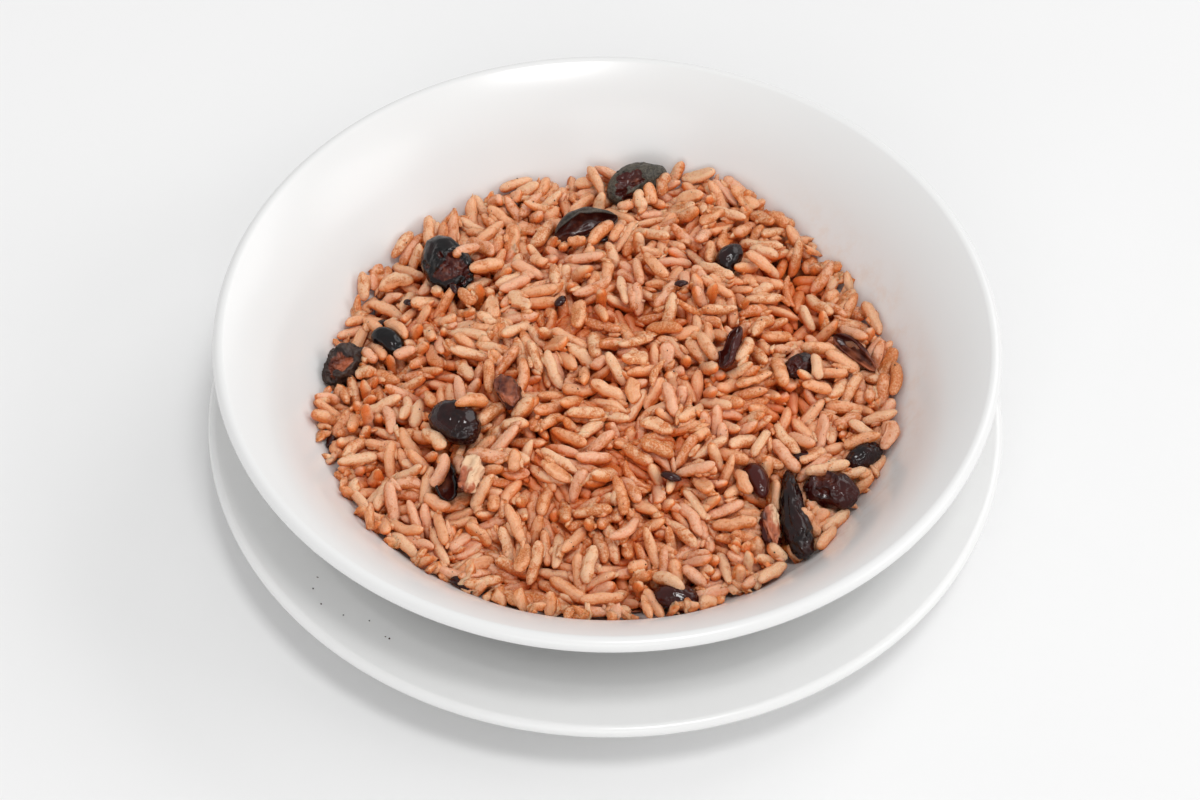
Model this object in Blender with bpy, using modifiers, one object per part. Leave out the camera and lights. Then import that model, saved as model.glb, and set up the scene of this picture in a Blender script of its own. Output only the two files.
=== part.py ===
"""Rice and beans in a flared white bowl that stands on its underplate.

Units are metres and +Z is up. The origin is the middle of the underplate's foot, on the table.
The front of the serving faces -Y, and angles round the bowl run anticlockwise from +X.

Both dishes are turned from an outline. The rice is one uneven dome that fills the bowl up to its
edge, and each dark bean, torn bean, empty skin or peeled half lies in a pocket of its own in it.
"""

import math
from collections import namedtuple

import bmesh
import bpy
import numpy as np
from mathutils import Euler, Matrix

MM = 0.001
CLEARANCE = 0.35 * MM
TURNING_STEPS = 44
ARC_STEP = 13
LIP_STEPS = 4
MERGE_DISTANCE = 0.01 * MM
TOLERANCE = 1e-6

# A stroke of a dish's upper face: a straight one has a length and no turn, and an arc has a
# radius and a turn in degrees, positive where the face curls up and negative where it flares out.
Stroke = namedtuple("Stroke", "size turn")

# The foot ring under a dish: the radius of its outside, its width, how far its sole is rounded and
# how deep the recess inside it is.
Foot = namedtuple("Foot", "radius width edge recess")

# A dish: the radius and height of its lip's centre line, the thickness of its wall, the strokes of
# its upper face from the flat middle outwards, its foot and the height of the foot's sole.
Dish = namedtuple("Dish", "lip_radius lip_height thickness strokes foot sole")

UNDERPLATE = Dish(
    lip_radius=91.6 * MM,
    lip_height=16.5 * MM,
    thickness=3.2 * MM,
    strokes=(Stroke(24 * MM, 25), Stroke(10.5 * MM, 0), Stroke(12 * MM, -10), Stroke(12 * MM, 0)),
    foot=Foot(radius=54 * MM, width=4.0 * MM, edge=0.7 * MM, recess=2.2 * MM),
    sole=0.0,
)

BOWL_WALL = 3.6 * MM
BOWL_LIP_HEIGHT = 43.5 * MM
BOWL_STROKES = (Stroke(20 * MM, 55), Stroke(12 * MM, 0), Stroke(42 * MM, -24))
BOWL_FOOT = Foot(radius=40 * MM, width=4.6 * MM, edge=0.8 * MM, recess=3.2 * MM)
BOWL_LIP_RADIUS = 90 * MM - BOWL_WALL / 2

# The rice: where its edge meets the bowl, how high its middle stands above that edge, and how far
# in and up its underside lies from the bowl's face, so that the gap square to the slope is clear.
RICE_EDGE_RADIUS = 66 * MM
RICE_RISE = 12 * MM
RICE_SECTORS = 36
RICE_RINGS = 16
BED_SHIFT = 1.6 * CLEARANCE
BED_LIFT = 1.3 * CLEARANCE

# The lumps on the rice: a chequer of bumps, with weaker waves that run aslant over it.
LUMP_HEIGHT = 1.3 * MM
LUMP_LENGTHS = (5.2 * MM, 6.1 * MM)
LUMP_SHIFTS = (0.7, 1.9)
SLANT_LENGTHS = (3.4 * MM, 4.3 * MM)
SLANT_SHARE = 0.7

# Each wave of the rice's edge: its height, how many times it goes round, and the angle of a crest.
EDGE_WAVES = (
    (1.5 * MM, 1, 75),
    (1.2 * MM, 2, 60),
    (0.7 * MM, 5, -7),
    (0.4 * MM, 9, -13),
)

BEAN_SECTORS = 10
BEAN_RINGS = 7
POCKET_SECTORS = 8
POCKET_RINGS = 6
POCKET_MARGIN = 0.8 * MM
SKIN_THICKNESS = 0.8 * MM

# A bean's waist: its depth as a share of the width, and its reach as a share of half the length.
WAIST_DEPTH = 0.10
WAIST_REACH = 0.4
# Where a peeled half and an empty skin are cut off, as shares of the bean's depth above its middle.
CUT_LEVELS = {"half": 0.20, "skin": 0.30}
# The hollow of a tear: its half sizes and its place, as shares of the bean's length, width and depth.
TEAR_SIZE = (0.24, 0.30, 0.42)
TEAR_PLACE = (-0.22, -0.10, 0.42)

# A bean or a part of one, in millimetres and degrees. It lies at (x, y), with its middle lifted so
# far above the rice's surface. Its long axis points along heading, climbs by pitch, and it is
# rolled about that axis. Bend bows it like a kidney, and taper thins the end that it points with.
Bean = namedtuple("Bean", "name form x y lift size heading pitch roll bend taper")

BEANS = (
    Bean("bean_far", "torn", 6.2, 61.2, 3.2, (15.4, 8.6, 7.6), 24, 12, 20, 0.10, 0.10),
    Bean("skin_far", "skin", -6.0, 45.8, 1.0, (16.2, 7.6, 6.4), 20, 6, 62, 0.16, 0.15),
    Bean("bean_far_left", "torn", -38.8, 31.5, 1.8, (16.0, 11.2, 9.0), 122, 4, -30, 0.08, 0.00),
    Bean("bean_left_small", "whole", -51.4, 10.0, 0.9, (9.2, 5.8, 5.4), -40, 0, 0, 0.08, 0.10),
    Bean("bean_left_edge", "torn", -61.6, 5.2, 2.2, (11.0, 7.6, 6.0), 52, 4, 0, 0.05, 0.05),
    Bean("bean_left_front", "whole", -34.0, -18.8, 1.2, (12.6, 9.6, 8.2), -38, 0, 0, 0.08, 0.00),
    Bean("skin_left_front", "skin", -35.6, -33.4, 0.4, (11.5, 5.4, 5.4), 98, 0, -15, 0.06, 0.10),
    Bean("half_left_front", "half", -30.1, -32.6, 1.4, (9.6, 5.0, 5.8), 80, 6, -30, 0.05, 0.05),
    Bean("half_middle", "half", -22.4, -10.8, 0.2, (9.6, 5.2, 5.4), -66, 0, 10, 0.08, 0.05),
    Bean("bean_far_right", "whole", 28.7, 34.0, 0.8, (8.0, 6.0, 5.8), 62, 20, 0, 0.05, 0.10),
    Bean("skin_right", "skin", 28.6, 4.0, 0.7, (13.4, 5.0, 4.8), 72, 0, -40, 0.10, 0.10),
    Bean("skin_right_edge", "skin", 58.4, 9.6, 1.2, (13.6, 4.4, 4.2), -46, -4, 40, 0.06, 0.20),
    Bean("bean_right_tucked", "torn", 45.1, 3.0, 0.1, (8.0, 5.6, 5.0), 25, 0, 0, 0.05, 0.05),
    Bean("bean_right_oval", "whole", 34.5, -30.1, 0.8, (9.4, 5.8, 5.4), -70, 0, 0, 0.04, 0.12),
    Bean("skin_right_long", "whole", 43.0, -37.8, 1.5, (23.0, 6.4, 6.2), 99, 2, -20, 0.05, 0.35),
    Bean("half_right", "half", 37.4, -41.2, 0.5, (11.0, 4.2, 5.0), 92, 2, 20, 0.03, 0.05),
    Bean("bean_right_front", "torn", 51.8, -29.9, 2.1, (12.6, 8.4, 7.2), -18, 0, 0, 0.06, 0.00),
    Bean("bean_right_edge", "whole", 59.2, -20.4, 1.8, (8.8, 5.8, 5.2), 34, 4, 0, 0.06, 0.05),
    Bean("bean_front_edge", "whole", 16.4, -61.2, 2.0, (9.8, 6.2, 5.4), -8, 0, 0, 0.05, 0.00),
)

# Colour (linear), roughness of each finish.
FINISHES = {
    "glaze": ((0.83, 0.84, 0.83), 0.18),
    "rice": ((0.62, 0.33, 0.19), 0.55),
    "bean_skin": ((0.020, 0.012, 0.016), 0.25),
    "bean_flesh": ((0.42, 0.22, 0.15), 0.55),
}


class Pen:
    """A pen that draws an outline of radius and height, and keeps the direction it goes in."""

    def __init__(self, radius, height, heading=0.0):
        self.points = [(radius, height)]
        self.heading = math.radians(heading)

    def line(self, length):
        """Go straight on."""
        radius, height = self.points[-1]
        step = (length * math.cos(self.heading), length * math.sin(self.heading))
        self.points.append((radius + step[0], height + step[1]))

    def arc(self, size, turn, steps=None):
        """Turn by so many degrees on an arc of this radius, anticlockwise where turn is positive."""
        steps = steps or max(1, round(abs(turn) / ARC_STEP))
        side = math.copysign(size, turn)
        radius, height = self.points[-1]
        start = self.heading
        for index in range(1, steps + 1):
            self.heading = start + math.radians(turn) * index / steps
            across = math.sin(self.heading) - math.sin(start)
            along = math.cos(start) - math.cos(self.heading)
            self.points.append((radius + side * across, height + side * along))

    def stroke(self, size, turn):
        """Draw one stroke of a dish, straight where it has no turn."""
        if turn:
            self.arc(size, turn)
        else:
            self.line(size)


def upper_face(dish):
    """The upper face of a dish: its points from the flat middle's edge to the lip, and its slope there."""
    pen = Pen(0.0, 0.0)
    for stroke in dish.strokes:
        pen.stroke(*stroke)
    radius, height = pen.points[-1]
    lip = dish.thickness / 2
    shift_out = dish.lip_radius - radius - lip * math.sin(pen.heading)
    shift_up = dish.lip_height - height + lip * math.cos(pen.heading)
    return [(r + shift_out, z + shift_up) for r, z in pen.points], pen.heading


def dish_outline(dish):
    """The closed outline of a dish: over its upper face, round the lip, and back along its underside.

    The underside repeats the strokes backwards, so each arc's radius grows or shrinks by the
    wall's thickness, and the foot ring then hangs from the flat middle.
    """
    face, slope = upper_face(dish)
    pen = Pen(*face[-1], heading=math.degrees(slope))
    pen.arc(dish.thickness / 2, -180, steps=LIP_STEPS)
    for stroke in reversed(dish.strokes):
        size = stroke.size + math.copysign(dish.thickness, stroke.turn) if stroke.turn else stroke.size
        pen.stroke(size, -stroke.turn)
    foot = dish.foot
    radius, height = pen.points[-1]
    drop = height - dish.sole - 2 * foot.edge
    pen.line(radius - foot.radius - foot.edge)
    pen.arc(foot.edge, 90, steps=1)
    pen.line(drop)
    pen.arc(foot.edge, -90, steps=1)
    pen.line(foot.width - 2 * foot.edge)
    pen.arc(foot.edge, -90, steps=1)
    pen.line(foot.recess - 2 * foot.edge)
    pen.arc(foot.edge, 90, steps=1)
    middle_top = (0.0, face[0][1])
    middle_under = (0.0, pen.points[-1][1])
    return [middle_top] + face + pen.points[1:] + [middle_under]


BOWL = Dish(
    lip_radius=BOWL_LIP_RADIUS,
    lip_height=BOWL_LIP_HEIGHT,
    thickness=BOWL_WALL,
    strokes=BOWL_STROKES,
    foot=BOWL_FOOT,
    sole=upper_face(UNDERPLATE)[0][0][1] + CLEARANCE,
)
BOWL_FACE = np.array(upper_face(BOWL)[0])


def wall_height(radius):
    """The height of the bowl's upper face at a distance from its axis."""
    return np.interp(radius, BOWL_FACE[:, 0], BOWL_FACE[:, 1])


def bed_height(radius):
    """The height of the rice's underside: the bowl's face, moved in and up by the clearance."""
    return wall_height(radius + BED_SHIFT) + BED_LIFT


def edge_radius(angle):
    """How far from the axis the rice's edge lies at an angle: a circle and the waves on it."""
    radius = RICE_EDGE_RADIUS
    for height, times, crest in EDGE_WAVES:
        radius = radius + height * np.cos(times * (angle - math.radians(crest)))
    return radius


def rice_height(x, y):
    """The height of the rice at a place: its edge follows the wall, and a dome with lumps rises from it."""
    edge = edge_radius(np.arctan2(y, x))
    share = np.clip(np.hypot(x, y) / edge, 0.0, 1.0)
    mean_edge = bed_height(RICE_EDGE_RADIUS)
    base = mean_edge + (bed_height(edge) - mean_edge) * share**2
    bumps = np.sin(x / LUMP_LENGTHS[0] + LUMP_SHIFTS[0]) * np.sin(y / LUMP_LENGTHS[1] + LUMP_SHIFTS[1])
    waves = SLANT_SHARE * np.sin(x / SLANT_LENGTHS[0] - y / SLANT_LENGTHS[1])
    return base + RICE_RISE * (1 - share**2) + LUMP_HEIGHT * (bumps + waves) * (1 - share**4)


def clear_scene():
    """Take every object out of the scene."""
    for item in list(bpy.data.objects):
        bpy.data.objects.remove(item, do_unlink=True)


def collection(name):
    """A new collection in the scene."""
    group = bpy.data.collections.new(name)
    bpy.context.scene.collection.children.link(group)
    return group


def finish(name):
    """The material of one finish."""
    color, roughness = FINISHES[name]
    material = bpy.data.materials.new(name)
    material.use_nodes = True
    shader = material.node_tree.nodes["Principled BSDF"]
    shader.inputs["Base Color"].default_value = (*color, 1.0)
    shader.inputs["Roughness"].default_value = roughness
    shader.inputs["Metallic"].default_value = 0.0
    return material


def add_object(name, mesh, group, material=None):
    """Put a mesh in the scene as a named object."""
    item = bpy.data.objects.new(name, mesh)
    group.objects.link(item)
    if material:
        mesh.materials.append(material)
    return item


def turned(name, outline, group, material):
    """Turn an outline about the vertical axis."""
    mesh = bpy.data.meshes.new(name)
    edges = [(index, index + 1) for index in range(len(outline) - 1)]
    mesh.from_pydata([(radius, 0.0, height) for radius, height in outline], edges, [])
    item = add_object(name, mesh, group, material)
    screw = item.modifiers.new("turn", "SCREW")
    screw.steps = TURNING_STEPS
    screw.render_steps = TURNING_STEPS
    screw.use_merge_vertices = True
    screw.merge_threshold = MERGE_DISTANCE
    screw.use_smooth_shade = True
    return item


def ball(sectors, rings):
    """A unit sphere with its poles on +X and -X, as a bmesh and the array of its points."""
    shape = bmesh.new()
    bmesh.ops.create_uvsphere(shape, u_segments=sectors, v_segments=rings, radius=1.0)
    bmesh.ops.rotate(shape, verts=shape.verts, matrix=Matrix.Rotation(math.radians(90), 3, "Y"))
    return shape, np.array([vertex.co[:] for vertex in shape.verts])


def move_points(shape, points):
    """Give a bmesh's vertices new places."""
    for vertex, point in zip(shape.verts, points):
        vertex.co = point


def rice_mesh():
    """The rice as a closed mesh: a sphere whose upper half becomes the top and lower half the underside.

    A point's angle down from the pole says how far out it goes, the full way to the edge at the
    equator, and its height is then the rice's or the bed's there.
    """
    shape = bmesh.new()
    bmesh.ops.create_uvsphere(shape, u_segments=RICE_SECTORS, v_segments=RICE_RINGS, radius=1.0)
    points = np.array([vertex.co[:] for vertex in shape.verts])
    angle = np.arctan2(points[:, 1], points[:, 0])
    down = np.arccos(np.clip(points[:, 2], -1.0, 1.0)) / (math.pi / 2)
    share = np.where(down > 1.0, 2.0 - down, down)
    radius = np.clip(share, 0.0, 1.0) * edge_radius(angle)
    x = radius * np.cos(angle)
    y = radius * np.sin(angle)
    height = np.where(down < 1.0 - TOLERANCE, rice_height(x, y), bed_height(radius))
    move_points(shape, np.stack([x, y, height], axis=1))
    mesh = bpy.data.meshes.new("rice_heap")
    shape.to_mesh(mesh)
    shape.free()
    return mesh


def bean_points(points, size, bend, taper):
    """A bean's surface from a sphere's points: an egg that thins by taper and bows by bend.

    A shallow dimple halfway along one side gives it the waist of a kidney.
    """
    length, width, depth = size
    along = points[:, 0]
    thin = 1.0 - taper * along
    waist = 1.0 - WAIST_DEPTH * np.exp(-((along / WAIST_REACH) ** 2)) * np.clip(-points[:, 1], 0.0, 1.0)
    x = along * length / 2
    y = points[:, 1] * thin * waist * width / 2 - bend * width * along**2
    z = points[:, 2] * thin * depth / 2
    return np.stack([x, y, z], axis=1)


def bean_place(bean):
    """The matrix that lays a bean in its place on the rice."""
    x = bean.x * MM
    y = bean.y * MM
    z = float(rice_height(x, y)) + bean.lift * MM
    turn = Euler([math.radians(bean.roll), math.radians(-bean.pitch), math.radians(bean.heading)])
    return Matrix.Translation((x, y, z)) @ turn.to_matrix().to_4x4()


def bean_mesh(bean):
    """A bean's mesh in its own axes, long axis along X and its opening or flat face up."""
    shape, points = ball(BEAN_SECTORS, BEAN_RINGS)
    size = np.array(bean.size) * MM
    points = bean_points(points, size, bean.bend, bean.taper)
    move_points(shape, points)
    everything = shape.verts[:] + shape.edges[:] + shape.faces[:]
    if bean.form in CUT_LEVELS:
        cut_height = (0.0, 0.0, CUT_LEVELS[bean.form] * size[2])
        bmesh.ops.bisect_plane(
            shape, geom=everything, plane_co=cut_height, plane_no=(0.0, 0.0, 1.0), clear_outer=True
        )
    if bean.form == "half":
        rim = [edge for edge in shape.edges if edge.is_boundary]
        bmesh.ops.contextual_create(shape, geom=rim)
        bmesh.ops.recalc_face_normals(shape, faces=shape.faces)
    mesh = bpy.data.meshes.new(bean.name)
    shape.to_mesh(mesh)
    shape.free()
    mesh.shade_smooth()
    return mesh


def cutter(name, mesh, group, place):
    """A hidden guide that cuts another piece."""
    item = add_object(name, mesh, group)
    item.matrix_world = place
    item.hide_render = True
    item.display_type = "WIRE"
    return item


def cut_away(item, other=None, group=None):
    """Cut one object, or a whole collection, out of an item."""
    modifier = item.modifiers.new("cut", "BOOLEAN")
    modifier.operation = "DIFFERENCE"
    modifier.solver = "EXACT"
    if group:
        modifier.operand_type = "COLLECTION"
        modifier.collection = group
    else:
        modifier.object = other


def tear_mesh(bean):
    """The hollow that a torn bean's broken end shows, in the bean's own axes."""
    shape, points = ball(POCKET_SECTORS, POCKET_RINGS)
    size = np.array(bean.size) * MM
    move_points(shape, points * size * TEAR_SIZE + size * TEAR_PLACE)
    mesh = bpy.data.meshes.new(bean.name + "_tear")
    shape.to_mesh(mesh)
    shape.free()
    return mesh


def pocket_mesh(bean):
    """The room that the rice leaves for a bean: its whole form, a little larger all round."""
    shape, points = ball(POCKET_SECTORS, POCKET_RINGS)
    size = np.array(bean.size) * MM + 2 * POCKET_MARGIN
    move_points(shape, bean_points(points, size, bean.bend, bean.taper))
    mesh = bpy.data.meshes.new(bean.name + "_pocket")
    shape.to_mesh(mesh)
    shape.free()
    return mesh


def add_bean(bean, parts, guides, pockets, materials):
    """One bean, skin or half in its place, with its pocket in the rice."""
    place = bean_place(bean)
    material = materials["bean_flesh" if bean.form == "half" else "bean_skin"]
    item = add_object(bean.name, bean_mesh(bean), parts, material)
    item.matrix_world = place
    if bean.form == "skin":
        shell = item.modifiers.new("shell", "SOLIDIFY")
        shell.thickness = SKIN_THICKNESS
        shell.offset = -1.0
    if bean.form == "torn":
        cut_away(item, other=cutter(bean.name + "_tear", tear_mesh(bean), guides, place))
    cutter(bean.name + "_pocket", pocket_mesh(bean), pockets, place)


def main():
    """Model the bowl, its underplate, the rice and everything in the rice."""
    clear_scene()
    parts = collection("rice_and_beans_bowl")
    guides = collection("cutters")
    pockets = collection("pockets")
    materials = {name: finish(name) for name in FINISHES}
    turned("underplate", dish_outline(UNDERPLATE), parts, materials["glaze"])
    turned("bowl", dish_outline(BOWL), parts, materials["glaze"])
    for bean in BEANS:
        add_bean(bean, parts, guides, pockets, materials)
    rice = add_object("rice_heap", rice_mesh(), parts, materials["rice"])
    cut_away(rice, group=pockets)


main()
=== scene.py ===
"""Rice and beans in a flared white bowl on its underplate, laid out as a Blender add-on.

Each operator builds one piece, or one group of like pieces, in its place on the packed frame. Every new piece
is a closed form of rings between two poles, worked out with numpy: a turned dish, a grain, a bean, an empty
skin or a crumb. Units are metres, +Z is up, and the front of the serving faces -Y.
"""

import functools
import math
from collections import namedtuple

import bpy
import numpy as np
from mathutils import Euler, Matrix, Vector


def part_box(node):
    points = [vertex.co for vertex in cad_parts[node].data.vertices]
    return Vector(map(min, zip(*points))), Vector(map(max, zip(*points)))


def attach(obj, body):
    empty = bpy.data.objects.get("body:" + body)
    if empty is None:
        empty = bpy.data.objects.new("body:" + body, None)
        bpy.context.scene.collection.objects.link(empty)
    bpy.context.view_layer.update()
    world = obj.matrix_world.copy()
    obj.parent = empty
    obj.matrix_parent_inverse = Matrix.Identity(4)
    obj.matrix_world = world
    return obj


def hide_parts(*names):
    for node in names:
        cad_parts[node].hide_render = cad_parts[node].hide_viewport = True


bl_info = {
    "name": "Rice and Beans Bowl",
    "version": (1, 0, 0),
    "blender": (4, 5, 0),
    "location": "3D View > Sidebar > Serving",
    "description": "Builds a bowl of rice and beans that stands on its underplate",
    "category": "Add Mesh",
}

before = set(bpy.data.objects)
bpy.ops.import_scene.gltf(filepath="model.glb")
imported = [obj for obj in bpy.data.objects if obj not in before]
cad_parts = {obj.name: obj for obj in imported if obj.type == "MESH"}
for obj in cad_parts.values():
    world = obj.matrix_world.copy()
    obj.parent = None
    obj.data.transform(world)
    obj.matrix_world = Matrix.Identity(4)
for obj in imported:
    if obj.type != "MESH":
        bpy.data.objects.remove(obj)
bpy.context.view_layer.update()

MM = 0.001

Stroke = namedtuple("Stroke", "size turn")
Foot = namedtuple("Foot", "radius width edge recess")
Dish = namedtuple("Dish", "lip_radius lip_height thickness strokes foot sole")

UNDERPLATE = Dish(
    lip_radius=91.6 * MM,
    lip_height=16.5 * MM,
    thickness=3.2 * MM,
    strokes=(Stroke(24 * MM, 25), Stroke(10.5 * MM, 0), Stroke(12 * MM, -10), Stroke(12 * MM, 0)),
    foot=Foot(radius=54 * MM, width=4.0 * MM, edge=0.7 * MM, recess=2.2 * MM),
    sole=0.0,
)
BOWL = Dish(
    lip_radius=88.2 * MM,
    lip_height=43.5 * MM,
    thickness=3.6 * MM,
    strokes=(Stroke(20 * MM, 55), Stroke(12 * MM, 0), Stroke(42 * MM, -24)),
    foot=Foot(radius=40 * MM, width=4.6 * MM, edge=0.8 * MM, recess=3.2 * MM),
    sole=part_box("bowl")[0].z,
)

# How a dish is drawn: the length and the angle of its outline's steps, how near to the axis its innermost
# ring lies, and how many rings its flat middle has.
PEN_STEP = 2 * MM
PEN_TURN = 3
INNERMOST = 2 * MM
FLAT_RINGS = 24

# The heap: how far its underside is moved in and up from the bowl's face, where its edge meets the bowl,
# how high its middle stands above that edge, its broad lumps and how wide their waves are, and each wave of
# its edge (height, times round, angle of a crest).
BED_IN = 0.56 * MM
BED_UP = 0.455 * MM
EDGE_RADIUS = 66 * MM
HEAP_RISE = 12 * MM
HEAP_LUMPS = 1.3 * MM
LUMP_WAVES = (5.2 * MM, 6.1 * MM, 3.4 * MM, 4.3 * MM)
EDGE_WAVES = ((1.5 * MM, 1, 75), (1.2 * MM, 2, 60), (0.7 * MM, 5, -7), (0.4 * MM, 9, -13))

# The surface that the grains are pressed back to: how wide and high its clumps are, how wide and high the
# swell round each bean, and how wide the band along the heap's edge.
CLUMP_WIDTH, CLUMP_HEIGHT = 7.0 * MM, 4.0 * MM
SWELL_WIDTH, SWELL_HEIGHT = 7.5 * MM, 2.0 * MM
EDGE_BAND = 7 * MM

# The core: its rings and sectors, how far inside the heap's edge it ends, and the width and height of its
# large lumps and of its small ones.
CORE_GRID = (119, 160)
CORE_INSET = 3.5 * MM
CORE_LUMPS = (4.5 * MM, 0.7 * MM)
CORE_CRUMBS = (1.6 * MM, 0.35 * MM)

# The way from the serving to the eye of whoever it is served to: 48 degrees up from the front.
SIGHT = np.array([0.0, -math.cos(math.radians(48)), math.sin(math.radians(48))])

# Where the loose grains start: how many places are tried for each, how far beyond the edge, how far down
# from the heap's surface at least, how much higher at the edge, how far above the wall, how wide the hollows
# are that stay empty and how deep, and how far above the heap and how many of all start on top of it.
TRIES = 6
START_BEYOND = 1.0 * MM
START_DEPTH = 0.6 * MM
START_RISE = 3.0 * MM
START_CLEAR = 1.3 * MM
HOLLOW_WIDTH = 7 * MM
HOLLOW_DEPTH = 3.5 * MM
UPPER_LIFT = 2.5 * MM
UPPER_SHARE = 0.34

# The spread of the grains' tilts in degrees, how thick a rod is that stands for a grain or a bean as a share
# of its thickness, and how deep a grain may reach into the wall.
TILT = 52
GRAIN_ROD = 0.94
BEAN_ROD = 0.74
WALL_DEPTH = 0.5 * MM

# How the grains settle: how far they sink in the first round, the step over which a slope is measured, how
# near rods are to be tried as neighbours, after how many rounds those are looked for again, and by how much
# rods part farther than their mean push.
SINK = 0.10 * MM
NUDGE = 0.2 * MM
NEIGHBOUR_GAP = 1.2 * MM
NEIGHBOUR_ROUNDS = 6
OVERSHOOT = 1.5

# How near to a bean's line, in shares of its rod's radius, a grain or a lump hides it and is left out.
GRAIN_HIDES = 0.75
LUMP_HIDES = 1.2

# Lumps of mashed rice: how many stick in the crevices, down to which depth, how many lie at the edge, how
# far in from it in millimetres, how high above the wall and how much larger those are, and how long, wide
# and thick a middling lump is.
MASH_LUMPS = 2300
MASH_DEPTH = 5 * MM
EDGE_LUMPS = 200
EDGE_INSET = (-1.2, 2.2)
EDGE_LIFT = 0.9 * MM
EDGE_LARGER = 1.35
LUMP_SIZE = (1.7, 0.85, 0.85)

# How deep under the heap's surface the painted shade on the rice is darkest, how far juice spreads from a
# bean, and how thick a bean's skin is.
PAINTED_SHADE_DEPTH = 6 * MM
JUICE_REACH = 2.2 * MM
SKIN_THICKNESS = 0.45 * MM

# A bean or a part of one: its form and size in millimetres, how it lies in degrees, how it bows and
# tapers, and its looks, from 0 to 1 or more: how torn, red, dull and wrinkled it is, and how pale its
# flesh is.
Bean = namedtuple("Bean", "name form size heading pitch roll bend taper tear red dull wrinkle pale")

BEANS = (
    Bean("bean_far", "torn", (15.4, 8.6, 7.6), 24, 12, 20, 0.10, 0.10, 0.8, 0.20, 1.0, 0.35, 0.0),
    Bean("skin_far", "skin", (16.2, 7.6, 6.4), 20, 6, 62, 0.16, 0.15, 1.0, 0.30, 0.8, 0.8, 0.0),
    Bean("bean_far_left", "torn", (16.0, 11.2, 9.0), 122, 4, -30, 0.08, 0.00, 1.0, 0.15, 0.2, 0.4, 0.0),
    Bean("bean_left_small", "whole", (9.2, 5.8, 5.4), -40, 0, 0, 0.08, 0.10, 0.0, 0.10, 0.1, 0.2, 0.0),
    Bean("bean_left_edge", "torn", (11.0, 7.6, 6.0), 52, 4, 0, 0.05, 0.05, 1.0, 0.40, 0.6, 1.7, 0.26),
    Bean("bean_left_front", "whole", (12.6, 9.6, 8.2), -38, 0, 0, 0.08, 0.00, 0.0, 0.35, 0.0, 0.6, 0.0),
    Bean("skin_left_front", "skin", (11.5, 5.4, 5.4), 98, 0, -15, 0.06, 0.10, 1.0, 0.15, 0.3, 0.6, 0.0),
    Bean("half_left_front", "half", (9.6, 5.0, 5.8), 80, 6, -30, 0.05, 0.05, 0.0, 0.60, 0.5, 0.8, 0.72),
    Bean("half_middle", "half", (9.6, 5.2, 5.4), -66, 0, 10, 0.08, 0.05, 0.0, 0.70, 0.5, 0.2, 0.17),
    Bean("bean_far_right", "whole", (8.0, 6.0, 5.8), 62, 20, 0, 0.05, 0.10, 0.0, 0.30, 0.1, 0.3, 0.0),
    Bean("skin_right", "skin", (13.4, 5.0, 4.8), 72, 0, -40, 0.10, 0.10, 1.0, 0.90, 0.0, 0.6, 0.0),
    Bean("skin_right_edge", "skin", (13.6, 4.4, 4.2), -46, -4, 40, 0.06, 0.20, 1.0, 0.90, 0.9, 0.9, 0.14),
    Bean("bean_right_tucked", "torn", (8.0, 5.6, 5.0), 25, 0, 0, 0.05, 0.05, 0.5, 0.40, 0.3, 0.7, 0.0),
    Bean("bean_right_oval", "whole", (9.8, 5.4, 5.4), -70, 0, 0, 0.04, 0.24, 0.0, 1.15, 0.0, 0.15, 0.0),
    Bean("skin_right_long", "whole", (23.0, 5.3, 5.6), 99, 2, -20, 0.12, 0.46, 0.0, 0.30, 0.25, 1.8, 0.0),
    Bean("half_right", "half", (11.0, 4.2, 5.0), 92, 2, 20, 0.03, 0.05, 0.0, 0.85, 0.2, 0.9, 0.50),
    Bean("bean_right_front", "torn", (12.6, 8.4, 7.2), -18, 0, 0, 0.06, 0.05, 0.9, 0.55, 0.0, 0.35, 0.0),
    Bean("bean_right_edge", "whole", (8.8, 5.8, 5.2), 34, 4, 0, 0.06, 0.05, 0.0, 0.30, 0.15, 1.0, 0.0),
    Bean("bean_front_edge", "whole", (9.8, 6.2, 5.4), -8, 0, 0, 0.05, 0.00, 0.0, 0.60, 0.0, 0.5, 0.0),
)

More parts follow.
